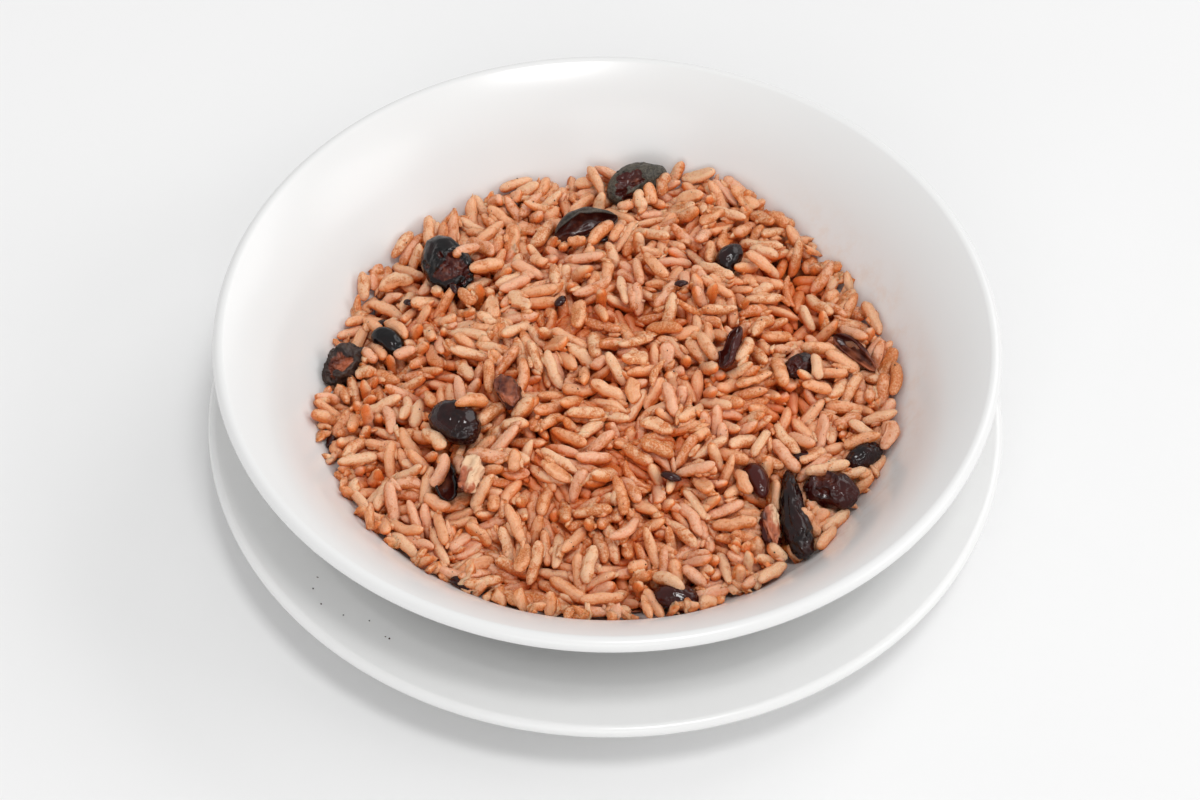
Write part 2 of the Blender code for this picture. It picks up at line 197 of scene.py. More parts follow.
# Grains that lean on beans, in millimetres and degrees: where, how far above the heap, how long,
# which way and how steep.
LEANING = (
    (9.7, 55.8, 2.8, 5.6, -74, -25), (12.8, 59.5, 2.6, 6.0, -112, -40), (7.2, 53.9, 2.5, 5.6, -72, -15),
    (3.9, 53.0, 1.4, 4.4, 28, -2), (-5.6, 63.5, 1.4, 6.6, 14, -3), (-2.3, 41.5, 1.0, 9.8, 56, -5),
    (-7.8, 38.5, 1.3, 4.6, -3, 14), (-34.4, 34.3, 3.5, 9.4, 49, -24), (-29.1, 29.6, 2.1, 9.0, 24, -10),
    (-33.5, 20.9, 1.7, 5.6, -47, -5), (-49.8, 13.8, 0.8, 9.6, -51, 18), (-47.3, 5.6, 1.5, 5.4, 15, 11),
    (-53.7, 7.6, 1.0, 7.5, -60, 17), (-55.6, 5.4, 2.3, 4.8, -48, -5), (-56.5, 1.0, 0.9, 5.0, -11, 27),
    (-30.6, -15.3, 4.2, 8.7, 26, -21), (-38.9, -22.8, 1.4, 8.3, -49, 9), (-37.0, -31.5, 1.4, 8.4, -109, -17),
    (-37.7, -38.8, 1.6, 7.0, -32, 2), (-26.4, -28.0, 2.4, 10.2, -12, 9), (24.2, 36.5, 1.7, 7.0, -96, 4),
    (25.5, 29.1, 1.0, 9.6, -30, 5), (35.8, 33.2, 1.8, 7.7, -23, -27), (23.3, 4.0, 2.0, 9.6, -64, 3),
    (32.0, 3.2, 1.3, 8.0, 66, -3), (48.9, 1.7, 2.3, 6.4, -76, -25), (49.4, 8.4, 1.4, 8.4, 4, -7),
    (48.8, -3.7, 1.5, 7.6, 2, -20), (40.1, -1.6, 1.4, 9.0, -74, 3), (54.8, 6.1, 1.3, 9.4, -26, -17),
    (59.7, -13.8, 1.3, 9.0, -31, -20), (61.6, -22.5, 1.6, 8.3, 49, 6), (50.6, -25.7, 2.6, 10.4, 14, 4),
    (52.6, -37.1, 1.5, 8.6, 43, 1), (50.0, -43.7, 2.8, 9.0, 61, -15), (46.4, -39.8, 4.0, 7.8, -40, -40),
    (39.0, -48.0, 2.6, 5.6, -20, -40), (14.8, -58.4, 2.8, 8.6, -35, 12), (20.4, -55.9, 1.6, 6.6, -34, -18),
    (11.5, -62.9, 1.7, 7.7, -57, -12), (23.3, -62.4, 2.2, 5.2, 38, -20), (-20.8, -19.7, 1.8, 6.7, -6, 17),
)

# Scraps of skin that lie in the rice, in millimetres and degrees: where, how long and wide, and which way.
SCRAPS = (
    (44.8, -21.3, 4.6, 2.8, 30), (15.0, -31.8, 5.0, 3.0, -20), (-11.3, 17.6, 3.8, 2.6, 60),
    (17.1, 20.7, 3.4, 2.4, 10), (-23.9, 56.9, 4.4, 2.4, -50), (17.9, 52.4, 4.0, 2.6, 35),
    (-63.2, -17.8, 3.8, 2.4, 80), (-30.6, -57.6, 7.0, 3.4, -35), (-1.4, 41.4, 3.6, 2.4, 0),
    (-36.6, 23.4, 3.6, 2.2, -70), (-53.9, 18.2, 3.8, 2.6, 45), (-47.2, 22.6, 3.2, 2.4, -15),
)

# A kind of grain: its share of the heap, its lengths and widths in millimetres, how much it bows,
# how blunt its ends are, and whether one end is snapped off or its side has burst open.
Kind = namedtuple("Kind", "name share length width bow blunt snapped burst")

KINDS = (
    Kind("grains_long", 0.36, (8.6, 10.8), (2.80, 3.25), 0.03, 3.6, 0.0, 0.0),
    Kind("grains_bowed", 0.20, (8.4, 10.6), (2.65, 3.15), 0.09, 3.4, 0.0, 0.0),
    Kind("grains_plump", 0.15, (7.0, 8.8), (3.05, 3.50), 0.02, 3.2, 0.0, 0.0),
    Kind("grains_snapped", 0.16, (3.8, 6.4), (2.60, 3.20), 0.02, 3.4, 1.0, 0.0),
    Kind("grains_burst", 0.11, (6.8, 9.2), (3.30, 3.90), 0.05, 3.4, 0.0, 1.0),
    Kind("slivers", 0.02, (6.5, 9.5), (1.60, 2.20), 0.14, 2.4, 0.0, 0.0),
)

# Crumbs that lie on the grains: how many, their least and greatest size in millimetres, and whether they
# are flesh; and how deep a grain may lie that carries one.
CRUMBS = (("skin_flakes", 130, 0.08, 0.24, 0.0), ("bean_crumbs", 16, 0.4, 0.9, 1.0))
CRUMB_DEPTH = 2.5 * MM

# Crumbs on the underplate: how many, between which angles in degrees, and how far out in millimetres.
PLATE_CRUMBS = 7
PLATE_ANGLES = (218, 240)
PLATE_RADII = (80, 88)

# The point that the camera looks at, from the middle of the bowl's rim.
AIM = (-1.36 * MM, -21.12 * MM, 0.0)

# The floor: how far it reaches from the serving and how far it lies below it.
FLOOR_REACH = 3.0
FLOOR_DROP = 0.05 * MM

# The lamps: the way to each from the serving, its size in metres, and its share of their power.
LAMP_DISTANCE = 3.0
LAMPS = (
    ("lamp_over", (0.16, -0.26, 1.0), 0.6, 0.33),
    ("lamp_window", (0.85, -0.10, 0.50), 1.5, 0.21),
    ("lamp_behind", (0.6, 0.6, 0.65), 1.6, 0.22),
    ("lamp_front", (-0.1, -0.9, 0.5), 1.8, 0.24),
)


# ---------------------------------------------------------------- sizes and colours


def shade(name, description, *color):
    """A colour as a property: its name, what it colours, and its red, green and blue from 0 to 1."""
    return bpy.props.FloatVectorProperty(
        name=name, description=description, default=color, subtype="COLOR", size=3, min=0.0, max=1.0)


class DishLooks(bpy.types.PropertyGroup):
    """The glaze of the bowl and its underplate."""

    glaze: shade("Glaze", "Colour of the white glaze", 0.81, 0.81, 0.805)
    gloss_roughness: bpy.props.FloatProperty(
        name="Roughness", description="How soft the glaze's reflections are", subtype="FACTOR",
        min=0.0, max=1.0, default=0.22)
    oil: shade("Oil", "Colour of the smears that the rice left on the wall", 0.74, 0.55, 0.42)
    sectors: bpy.props.IntProperty(
        name="Sectors", description="Flat faces round each dish", default=208, min=32, max=512)


class RiceLooks(bpy.types.PropertyGroup):
    """How many grains the heap has, how deep they lie, and their colours."""

    grains: bpy.props.IntProperty(
        name="Grains", description="Grains that are laid over the core", default=1430, min=100, max=4000)
    depth: bpy.props.FloatProperty(
        name="Depth", description="Depth of the loose grains over the core", unit="LENGTH",
        min=0.002, max=0.02, default=7.0 * MM)
    rounds: bpy.props.IntProperty(
        name="Rounds", description="Rounds in which the grains settle against each other",
        default=130, min=1, max=600)
    # Cream, paler and whiter, is also the painted sheen on the grains' tops.
    cream: shade("Cream", "Colour of the lightest grains", 0.85, 0.515, 0.29)
    peach: shade("Peach", "Colour of most grains", 0.83, 0.337, 0.126)
    clear: shade("Clear", "Colour of the pinkish, glassy grains", 0.83, 0.378, 0.220)
    # Stain is a real film, and a deeper stain is also the painted orange glow on the grains' undersides.
    stain: shade("Stain", "Colour of the orange film and mash on the grains", 0.62, 0.195, 0.048)
    # Juice is the real bean juice, and a lighter juice is also the core's painted shade.
    juice: shade("Juice", "Colour of the bean juice in the gaps", 0.150, 0.026, 0.010)
    # Gap is the painted shade down in the gaps and on the grains' undersides, and a fine dark mottling.
    gap: shade("Gap", "Colour of the wet rice down in the gaps", 0.76, 0.17, 0.026)


class BeanLooks(bpy.types.PropertyGroup):
    """The colours of the beans, their skins and their flesh."""

    black: shade("Black", "Colour of most skins", 0.004, 0.003, 0.0035)
    red: shade("Red", "Colour of the thin, reddish skins", 0.055, 0.006, 0.004)
    dull: shade("Dull", "Colour of the dry grey bloom on some skins", 0.120, 0.105, 0.078)
    cream: shade("Cream flesh", "Colour of the clean flesh", 0.82, 0.55, 0.35)
    tan: shade("Tan flesh", "Colour of the lightly stained flesh", 0.48, 0.14, 0.065)
    brown: shade("Brown flesh", "Colour of the stained flesh", 0.060, 0.012, 0.009)


class StageLooks(bpy.types.PropertyGroup):
    """The floor, the lights and the camera."""

    floor: shade("Floor", "Colour of the pale floor", 0.86, 0.86, 0.86)
    lamp_power: bpy.props.FloatProperty(
        name="Lamps", description="Power of all the soft lamps together", unit="POWER", min=0.0, default=73.5)
    sky: bpy.props.FloatProperty(
        name="Sky", description="Strength of the even white light all round", min=0.0, default=0.56)
    distance: bpy.props.FloatProperty(
        name="Distance", description="From the middle of the rim to the camera", unit="LENGTH",
        min=0.1, default=686.3 * MM)
    elevation: bpy.props.FloatProperty(
        name="Elevation", description="Height of the camera above the horizon", subtype="ANGLE",
        default=math.radians(48.308))
    roll: bpy.props.FloatProperty(
        name="Roll", description="How far the camera leans", subtype="ANGLE", default=math.radians(1.12))
    lens: bpy.props.FloatProperty(
        name="Lens", description="Focal length in millimetres", min=10.0, default=90.0)


# ---------------------------------------------------------------- fields and closed forms


def noise(points, seed=0.0):
    """A smooth random field from -1 to 1.

    Each corner of a unit grid gets a value, the fractional part of a large sine of its place, and the
    eight values round a point are blended with a smooth step along each axis.
    """
    base = np.floor(points)
    part = points - base
    ease = part * part * (3 - 2 * part)
    total = np.zeros(points.shape[:-1])
    for corner in np.ndindex(2, 2, 2):
        wave = np.sin((base + corner) @ np.array([12.9898, 78.233, 37.719]) + seed * 4.7) * 43758.5453
        value = 2 * (wave - np.floor(wave)) - 1
        total += value * np.prod(np.where(np.array(corner, bool), ease, 1 - ease), axis=-1)
    return total


def rough(points, seed=0.0, layers=3):
    """Noise in layers: each one is twice as fine as the one before and half as strong."""
    return sum(noise(points * 2**layer, seed + 11 * layer) / 2**layer for layer in range(layers))


def creased(points, seed=0.0):
    """Sharp crests between smooth hollows: one less twice the size of a noise, from -1 to 1."""
    return 1 - 2 * np.abs(noise(points, seed))


def unit(vectors):
    """Vectors at length one."""
    return vectors / np.maximum(np.linalg.norm(vectors, axis=-1, keepdims=True), 1e-12)


def step(value, low, high):
    """A smooth step from 0 at low to 1 at high: three squares less two cubes of the share between."""
    share = np.clip((value - low) / (high - low), 0.0, 1.0)
    return share * share * (3 - 2 * share)


def polar(radius, angle):
    """The x and y of places by their distance from the axis and their angle about it."""
    return radius * np.cos(angle), radius * np.sin(angle)


def plan_place(x, y):
    """Places at height nought, for a noise that depends on x and y alone."""
    return np.stack([x, y, 0 * x], axis=-1)


def ring_grid(rings, sectors):
    """A unit sphere's parameters: each ring's place along its axis, from -1 to 1, and each sector's angle.

    The rings are equal steps of angle from pole to pole, so the place is minus the cosine of that angle.
    """
    along = -np.cos(np.pi * np.arange(1, rings + 1) / (rings + 1))
    around = 2 * np.pi * np.arange(sectors) / sectors
    return along[:, None], around[None, :]


def ball_points(along, around):
    """A unit sphere's points: x is the place along, and a ring's radius the root of one less its square."""
    across = np.sqrt(1 - along**2)
    return np.stack(np.broadcast_arrays(along, across * np.cos(around), across * np.sin(around)), axis=-1)


# The first and the last point of a unit ball along x, each as a row of one point.
POLES = np.array([[[-1.0, 0.0, 0.0]], [[1.0, 0.0, 0.0]]])


def closed_faces(count, rings, sectors):
    """The faces of so many forms of rings between two poles, and the place of each corner round and along.

    A form's points are its first pole, its rings in order and its last pole. Each ring's sector makes a
    four-sided face with the next ring's, and each pole a fan of triangles. Faces point outwards where
    the rings run along the axis and their points anticlockwise about it.
    """
    ring, here = np.arange(rings - 1)[:, None], np.arange(sectors)
    following = (here + 1) % sectors
    low, last = 1 + ring * sectors, 1 + (rings - 1) * sectors
    quads = np.stack([low + here, low + following, low + sectors + following, low + sectors + here], -1)
    caps = np.concatenate([
        np.stack([0 * here, 1 + following, 1 + here], -1),
        np.stack([last + here, last + following, 0 * here + last + sectors], -1),
    ])
    left, right = here / sectors, (here + 1) / sectors
    middle = (left + right) / 2
    quad_u = np.stack([left, right, right, left], -1)
    cap_u = np.concatenate([np.stack([middle, right, left], -1), np.stack([left, right, middle], -1)])
    quad_v = ((ring + (1, 1, 2, 2)) / (rings + 1))[:, None]
    edge = 1 / (rings + 1)
    cap_v = np.repeat([[0.0, edge, edge], [1 - edge, 1 - edge, 1.0]], sectors, axis=0)
    shift = (np.arange(count) * (rings * sectors + 2))[:, None, None]
    faces = quads.reshape(-1, 4), caps
    quads, caps = ((part[None] + shift).reshape(-1, part.shape[1]) for part in faces)
    pairs = ((quad_u, quad_v), (cap_u, cap_v))
    corners = [np.stack(np.broadcast_arrays(*pair), -1).reshape(-1, 2) for pair in pairs]
    return quads, caps, np.concatenate([np.tile(part, (count, 1)) for part in corners])


Form = namedtuple("Form", "rings first last")


def together(forms):
    """Several forms of the same grid as one: their rings and poles stacked."""
    return Form(*(np.concatenate(parts) for parts in zip(*forms)))


def form_points(form):
    """A form's points in the order of its faces: first pole, rings, last pole, for each copy."""
    count, rings, sectors, _ = form.rings.shape
    body = form.rings.reshape(count, rings * sectors, 3)
    return np.concatenate([form.first[:, None], body, form.last[:, None]], axis=1).reshape(-1, 3)


def add_piece(name, form, material, replaces=(), fields=None):
    """Put a form in the scene as one smooth mesh, with its fields as attributes, riding on the serving."""
    count, rings, sectors, _ = form.rings.shape
    points = form_points(form)
    quads, caps, corners = closed_faces(count, rings, sectors)
    mesh = bpy.data.meshes.new(name)
    mesh.vertices.add(len(points))
    mesh.vertices.foreach_set("co", points.astype(np.float32).ravel())
    mesh.loops.add(quads.size + caps.size)
    mesh.loops.foreach_set("vertex_index", np.concatenate([quads.ravel(), caps.ravel()]).astype(np.int32))
    starts = np.concatenate([np.arange(len(quads)) * 4, quads.size + np.arange(len(caps)) * 3])
    mesh.polygons.add(len(starts))
    mesh.polygons.foreach_set("loop_start", starts.astype(np.int32))
    mesh.update(calc_edges=True)
    mesh.uv_layers.new(name="around_along").data.foreach_set("uv", corners.astype(np.float32).ravel())
    for label, values in (fields or {}).items():
        store = mesh.attributes.new(label, "FLOAT", "POINT")
        store.data.foreach_set("value", np.asarray(values, np.float32).ravel())
    mesh.validate()
    mesh.shade_smooth()
    mesh.materials.append(material)
    item = bpy.data.objects.new(name, mesh)
    bpy.context.scene.collection.objects.link(item)
    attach(item, "root")
    if replaces:
        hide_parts(*replaces)
    return item


def piece_points(name):
    """The points of a piece that is already made."""
    mesh = bpy.data.objects[name].data
    points = np.empty(3 * len(mesh.vertices))
    mesh.vertices.foreach_get("co", points)
    return points.reshape(-1, 3)


def spread(values, form):
    """One value for each copy of a form, repeated for all of its points."""
    rings, sectors = form.rings.shape[1:3]
    return np.repeat(np.asarray(values, float), rings * sectors + 2)


# ---------------------------------------------------------------- dishes


class Pen:
    """A pen that draws an outline of radius and height as arrays, and keeps the direction it goes in."""

    def __init__(self, radius, height, heading=0.0):
        self.points = np.array([[radius, height]])
        self.heading = heading

    def line(self, length):
        """Go straight on in equal steps along the heading."""
        steps = max(1, round(abs(length) / PEN_STEP))
        reach = length * np.arange(1, steps + 1)[:, None] / steps
        way = np.array([[math.cos(self.heading), math.sin(self.heading)]])
        self.points = np.concatenate([self.points, self.points[-1] + reach * way])

    def arc(self, size, turn):
        """Turn by so many degrees on an arc of this radius, in equal steps.

        The heading swings evenly, and the way across and along is the radius times the change of the
        heading's sine and of its cosine.
        """
        steps = max(3, round(abs(turn) / PEN_TURN))
        headings = self.heading + math.radians(turn) * np.arange(1, steps + 1) / steps
        across = np.sin(headings) - math.sin(self.heading)
        along = math.cos(self.heading) - np.cos(headings)
        swing = math.copysign(size, turn) * np.stack([across, along], axis=1)
        self.points = np.concatenate([self.points, self.points[-1] + swing])
        self.heading = headings[-1]

    def stroke(self, size, turn):
        """Draw one stroke of a dish, straight where it has no turn."""
        if turn:
            self.arc(size, turn)
        else:
            self.line(size)


def upper_face(dish):
    """The upper face of a dish from the flat middle's edge to the lip, and its slope there."""
    pen = Pen(0.0, 0.0)
    for stroke in dish.strokes:
        pen.stroke(*stroke)
    lip = dish.thickness / 2
    end = (dish.lip_radius - lip * math.sin(pen.heading), dish.lip_height + lip * math.cos(pen.heading))
    return pen.points + (np.array(end) - pen.points[-1]), pen.heading


def dish_outline(dish):
    """The closed outline of a dish, from the middle of its underside to the middle of its upper face.

    It is drawn over the upper face, round the lip, back along the underside with each arc's radius
    changed by the wall's thickness, and round the foot ring, and is then turned about.
    """
    face, slope = upper_face(dish)
    pen = Pen(*face[-1], heading=slope)
    pen.arc(dish.thickness / 2, -180)
    for stroke in reversed(dish.strokes):
        size = stroke.size + math.copysign(dish.thickness, stroke.turn) if stroke.turn else stroke.size
        pen.stroke(size, -stroke.turn)
    foot = dish.foot
    radius, height = pen.points[-1]
    pen.line(radius - foot.radius - foot.edge)
    pen.arc(foot.edge, 90)
    pen.line(height - dish.sole - 2 * foot.edge)
    pen.arc(foot.edge, -90)
    pen.line(foot.width - 2 * foot.edge)
    pen.arc(foot.edge, -90)
    pen.line(foot.recess - 2 * foot.edge)
    pen.arc(foot.edge, 90)
    under = pen.points[-1]
    pen.line(under[0] - INNERMOST)
    flat = np.linspace(INNERMOST, face[0, 0], FLAT_RINGS, endpoint=False)
    middle = np.stack([flat, np.full(FLAT_RINGS, face[0, 1])], axis=1)
    outline = np.concatenate([middle, face, pen.points[1:]])[::-1]
    return outline, (0.0, under[1]), (0.0, face[0, 1])


def turned(dish, sectors):
    """A dish as a form: each point of its outline goes round the vertical axis, so x and y are the radius
    times the cosine and sine of the angle, and the height stays."""
    outline, under, over = dish_outline(dish)
    around = 2 * np.pi * np.arange(sectors) / sectors
    x, y = polar(outline[:, :1], around)
    z = np.broadcast_to(outline[:, 1:], x.shape)
    rings = np.stack([x, y, z], axis=-1)[None]
    return Form(rings, np.array([[0.0, 0.0, under[1]]]), np.array([[0.0, 0.0, over[1]]]))


BOWL_FACE = upper_face(BOWL)[0]


def wall_height(radius):
    """The height of the bowl's upper face at a distance from its axis."""
    return np.interp(radius, BOWL_FACE[:, 0], BOWL_FACE[:, 1])


# ---------------------------------------------------------------- the heap


def bed_height(radius):
    """The height of the heap's underside: the bowl's face, moved in and up by a little."""
    return wall_height(radius + BED_IN) + BED_UP


def edge_radius(angle):
    """How far from the axis the heap's edge lies at an angle: a circle and the waves on it."""
    radius = EDGE_RADIUS
    for height, times, crest in EDGE_WAVES:
        radius = radius + height * np.cos(times * (angle - math.radians(crest)))
    return radius


def heap_height(x, y):
    """The height of the heap: its edge follows the wall, and a dome with broad lumps rises from it."""
    edge = edge_radius(np.arctan2(y, x))
    share = np.clip(np.hypot(x, y) / edge, 0.0, 1.0)
    mean_edge = bed_height(EDGE_RADIUS)
    base = mean_edge + (bed_height(edge) - mean_edge) * share**2
    wide_x, wide_y, aslant_x, aslant_y = LUMP_WAVES
    waves = np.sin(x / wide_x + 0.7) * np.sin(y / wide_y + 1.9)
    waves = waves + 0.7 * np.sin(x / aslant_x - y / aslant_y)
    return base + HEAP_RISE * (1 - share**2) + HEAP_LUMPS * waves * (1 - share**4)


def loose_reach(angle):
    """How much farther out the loose rice lies than the heap's edge: 1.5 mm at the front and less than
    nothing at the back, where its grains stand up behind the edge."""
    return (-0.35 - 1.85 * np.sin(angle) - 0.3 * np.cos(angle)) * MM


def near_edge(x, y):
    """How near a place is to the edge of the loose rice: 0 up to a band along it, and 1 at it."""
    angle = np.arctan2(y, x)
    return step(np.hypot(x, y) - edge_radius(angle) - loose_reach(angle), -EDGE_BAND, 0.0)


def surface_height(x, y):
    """The height that the grains are pressed back to: the heap's, with hollows and clumps as wide as a
    grain, a low swell round each bean, which the grains lean on, and at the edge up to a grain's thickness,
    least at the back."""
    place = plan_place(x, y) / CLUMP_WIDTH
    boxes = [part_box(bean.name) for bean in BEANS]
    away = [np.hypot(x - (low.x + high.x) / 2, y - (low.y + high.y) / 2) for low, high in boxes]
    swell = np.exp(-((np.min(away, axis=0) / SWELL_WIDTH) ** 2))
    edge = near_edge(x, y) * (0.85 - 0.15 * y / EDGE_RADIUS)
    lumps = CLUMP_HEIGHT * rough(place, seed=14, layers=2) * (1 - 0.7 * edge)
    return heap_height(x, y) + lumps + SWELL_HEIGHT * swell + (3.1 * edge - 0.5) * MM


def core_height(x, y, depth):
    """The top of the core: the heap's height less the grains' depth, never under the bed, with lumps as
    large as grains."""
    bed = bed_height(np.hypot(x, y))
    width, height = CORE_LUMPS
    lumps = height * rough(plan_place(x, y) / width, seed=3)
    return np.maximum(heap_height(x, y) - depth + lumps, bed)


def core_form(depth):
    """The core as a form: a sphere whose upper half becomes the top and lower half the underside.

    A ring's angle up from the lower pole says how far out it goes, the full way at the equator, and its
    height is then the bed's below and the core's above, down to the bed's at the edge.
    """
    rings, sectors = CORE_GRID
    up = np.arange(1, rings + 1)[:, None] / (rings + 1) * 2
    angle = 2 * np.pi * np.arange(sectors)[None, :] / sectors
    share = np.where(up > 1, 2 - up, up)
    radius = share * (edge_radius(angle) - CORE_INSET)
    x, y = polar(radius, angle)
    bed = bed_height(radius)
    top = bed + (core_height(x, y, depth) - bed) * (1 - share**10)
    width, height = CORE_CRUMBS
    top = top + height * rough(plan_place(x, y) / width, seed=8) * (1 - share**6)
    z = np.where(up > 1, np.maximum(top, bed), bed)
    zero = np.zeros(1)
    low = np.array([[0.0, 0.0, float(bed_height(0.0))]])
    high = np.array([[0.0, 0.0, core_height(zero, zero, depth)[0]]])
    return Form(np.stack([x, y, z], axis=-1)[None], low, high)


Rods = namedtuple("Rods", "centre axis half radius")


def bean_turn(bean):
    """How a bean lies, as a matrix: it is rolled about its axis, pitched up and turned to its heading."""
    angles = [math.radians(angle) for angle in (bean.roll, -bean.pitch, bean.heading)]
    return np.array(Euler(angles).to_matrix())


def bean_middle(bean):
    """The middle of the box of a bean's node."""
    low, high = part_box(bean.name)
    return list((low + high) / 2)


def bean_rods():
    """The beans as rods: each one's middle is its node's, its axis its own, and its radius a share of half
    its thickness."""
    centre = np.array([bean_middle(bean) for bean in BEANS])
    axis = np.array([bean_turn(bean)[:, 0] for bean in BEANS])
    size = np.array([bean.size for bean in BEANS]) * MM
    radius = (size[:, 1] + size[:, 2]) / 4 * BEAN_ROD
    return Rods(centre, axis, np.maximum(size[:, 0] / 2 - radius, 0.5 * MM), radius)


def near_pairs(rods, centre, margin):
    """The pairs of rods whose middles are closer than their reaches and a margin."""
    reach = rods.half + rods.radius + margin / 2
    squares = np.sum(centre**2, axis=1)
    apart = squares[:, None] + squares[None, :] - 2 * centre @ centre.T
    return np.nonzero(np.triu(apart < (reach[:, None] + reach[None, :]) ** 2, 1))


def closest(gap, first, second, first_half, second_half):
    """Where two rods come closest, as the distance along each from its middle.

    The gap between two points on them is least where it is square to both; each distance is held
    within its rod, and the first is then worked out again from the second.
    """
    lean = np.sum(first * second, axis=1)
    along_first = np.sum(first * gap, axis=1)
    along_second = np.sum(second * gap, axis=1)
    s = (lean * along_second - along_first) / np.maximum(1 - lean**2, 1e-6)
    s = np.clip(s, -first_half, first_half)
    t = np.clip(lean * s + along_second, -second_half, second_half)
    return np.clip(lean * t - along_first, -first_half, first_half), t


def beyond(points, centre, axis, half, radius):
    """How far points lie outside the nearest of some rods: their distance from it less its radius."""
    gap = points[:, None, :] - centre[None]
    along = np.clip(np.sum(gap * axis[None], axis=2), -half, half)
    return np.min(np.linalg.norm(gap - along[..., None] * axis[None], axis=2) - radius, axis=1)


def hiding(points, beans, share):
    """Whether points lie before a bean as it is served: nearer to the eye than its middle or no more than
    1 mm behind it and, seen from there, closer to its line than a share of its rod's radius."""
    def seen(vectors):
        return vectors - (vectors @ SIGHT)[..., None] * SIGHT

    line = seen(beans.axis)
    gap = seen(points)[:, None] - seen(beans.centre)
    along = np.sum(gap * line, axis=-1) / np.maximum(np.sum(line * line, axis=-1), 1e-6)
    away = np.linalg.norm(gap - np.clip(along, -beans.half, beans.half)[..., None] * line, axis=-1)
    nearer = (points @ SIGHT)[:, None] > beans.centre @ SIGHT - 1.0 * MM
    return np.any((away < share * beans.radius) & nearer, axis=1)


def parting(rods, centre, axis, free, pairs):
    """The shift and turn that part each rod from its neighbours.

    Two rods that overlap by some depth are pushed apart along the line between their closest points.
    Each moves as a thin rod pushed at that point: its middle shifts and it turns the more the farther
    out the point lies. The pushes on a rod are averaged, and the average overshoots.
    """
    one, two = pairs
    s, t = closest(centre[one] - centre[two], axis[one], axis[two], rods.half[one], rods.half[two])
    between = centre[one] + s[:, None] * axis[one] - centre[two] - t[:, None] * axis[two]
    distance = np.linalg.norm(between, axis=1)
    overlap = rods.radius[one] + rods.radius[two] - distance
    touch = overlap > 0
    one, two, s, t = one[touch], two[touch], s[touch], t[touch]
    push = between[touch] / np.maximum(distance[touch], 1e-9)[:, None]
    inertia = rods.half**2 / 3 + rods.radius**2 / 4
    ease = free[one] * (1 + s**2 / inertia[one]) + free[two] * (1 + t**2 / inertia[two])
    push = push * (overlap[touch] / np.maximum(ease, 1e-9))[:, None]
    total = len(centre)
    shift, turn = np.zeros((total, 3)), np.zeros((total, 3))
    hits = np.bincount(one, minlength=total) + np.bincount(two, minlength=total)
    for rod, lever, side in ((one, s, 1), (two, t, -1)):
        for column in range(3):
            amount = side * push[:, column] * free[rod]
            shift[:, column] += np.bincount(rod, amount, total)
            turn[:, column] += np.bincount(rod, amount * lever / inertia[rod], total)
    share = (OVERSHOOT / np.maximum(hits, OVERSHOOT))[:, None]
    return shift * share, turn * share


def settle(rods, free, proud, depth, rounds):
    """Let the loose rods come to rest, and return their middles and axes.

    In each round they sink a little, less and less, and are parted from each other. An end that is in the
    core or the bowl is lifted out square to its slope, and one that stands farther than its own limit
    proud of the rice's surface is pressed back halfway. Of an end's push, a quarter moves the middle and
    the rest turns the rod.
    """
    def ground(x, y):
        return np.maximum(core_height(x, y, depth), wall_height(np.hypot(x, y)))

    centre, axis = rods.centre.copy(), rods.axis.copy()
    for count in range(rounds):
        if count % NEIGHBOUR_ROUNDS == 0:
            pairs = near_pairs(rods, centre, NEIGHBOUR_GAP)
        centre[:, 2] -= free * SINK * (1 - count / rounds)
        shift, turn = parting(rods, centre, axis, free, pairs)
        centre += shift
        axis = unit(axis + turn)
        for side in (-1, 1):
            end = centre + side * rods.half[:, None] * axis
            x, y, z = end.T
            floor = ground(x, y)
            slope_x = (ground(x + NUDGE, y) - floor) / NUDGE
            slope_y = (ground(x, y + NUDGE) - floor) / NUDGE
            steep = np.sqrt(1 + slope_x**2 + slope_y**2)
            sunk = np.maximum(floor + rods.radius * steep - z, 0) / steep**2
            push = np.stack([-slope_x, -slope_y, np.ones_like(z)], axis=1) * sunk[:, None]
            high = np.maximum(z + rods.radius - surface_height(x, y) - proud, 0)
            push[:, 2] -= 0.5 * high
            push *= free[:, None]
            centre += push / 4
            axis = unit(axis + side * 0.75 * push / np.maximum(rods.half, 0.5 * MM)[:, None])
    return centre, axis


Heap = namedtuple("Heap", "kind centre axis length width tone stain contacts")


def grain_starts(total, depth, beans, rng):
    """Random places even over the heap's plan, between the core and the heap's surface: those that are clear
    of the wall, of the beans as seen from above, and of random hollows near the surface."""
    many = total * TRIES
    angle = rng.uniform(0, 2 * np.pi, many)
    reach = (edge_radius(angle) + loose_reach(angle) + START_BEYOND) * np.sqrt(rng.uniform(0, 1, many))
    x, y = polar(reach, angle)
    z = heap_height(x, y) + START_RISE * near_edge(x, y) - rng.uniform(START_DEPTH, depth, many)
    start = np.stack([x, y, z], axis=1)
    hollow = rough(start / HOLLOW_WIDTH, seed=2, layers=2)
    plan = np.array([1, 1, 0])
    clear = beyond(start * plan, beans.centre * plan, beans.axis, beans.half, 0.95 * beans.radius) > 0
    low = z < heap_height(x, y) - HOLLOW_DEPTH
    return start[(z > wall_height(reach) + START_CLEAR) & (low | (hollow > -0.25)) & clear][:total]


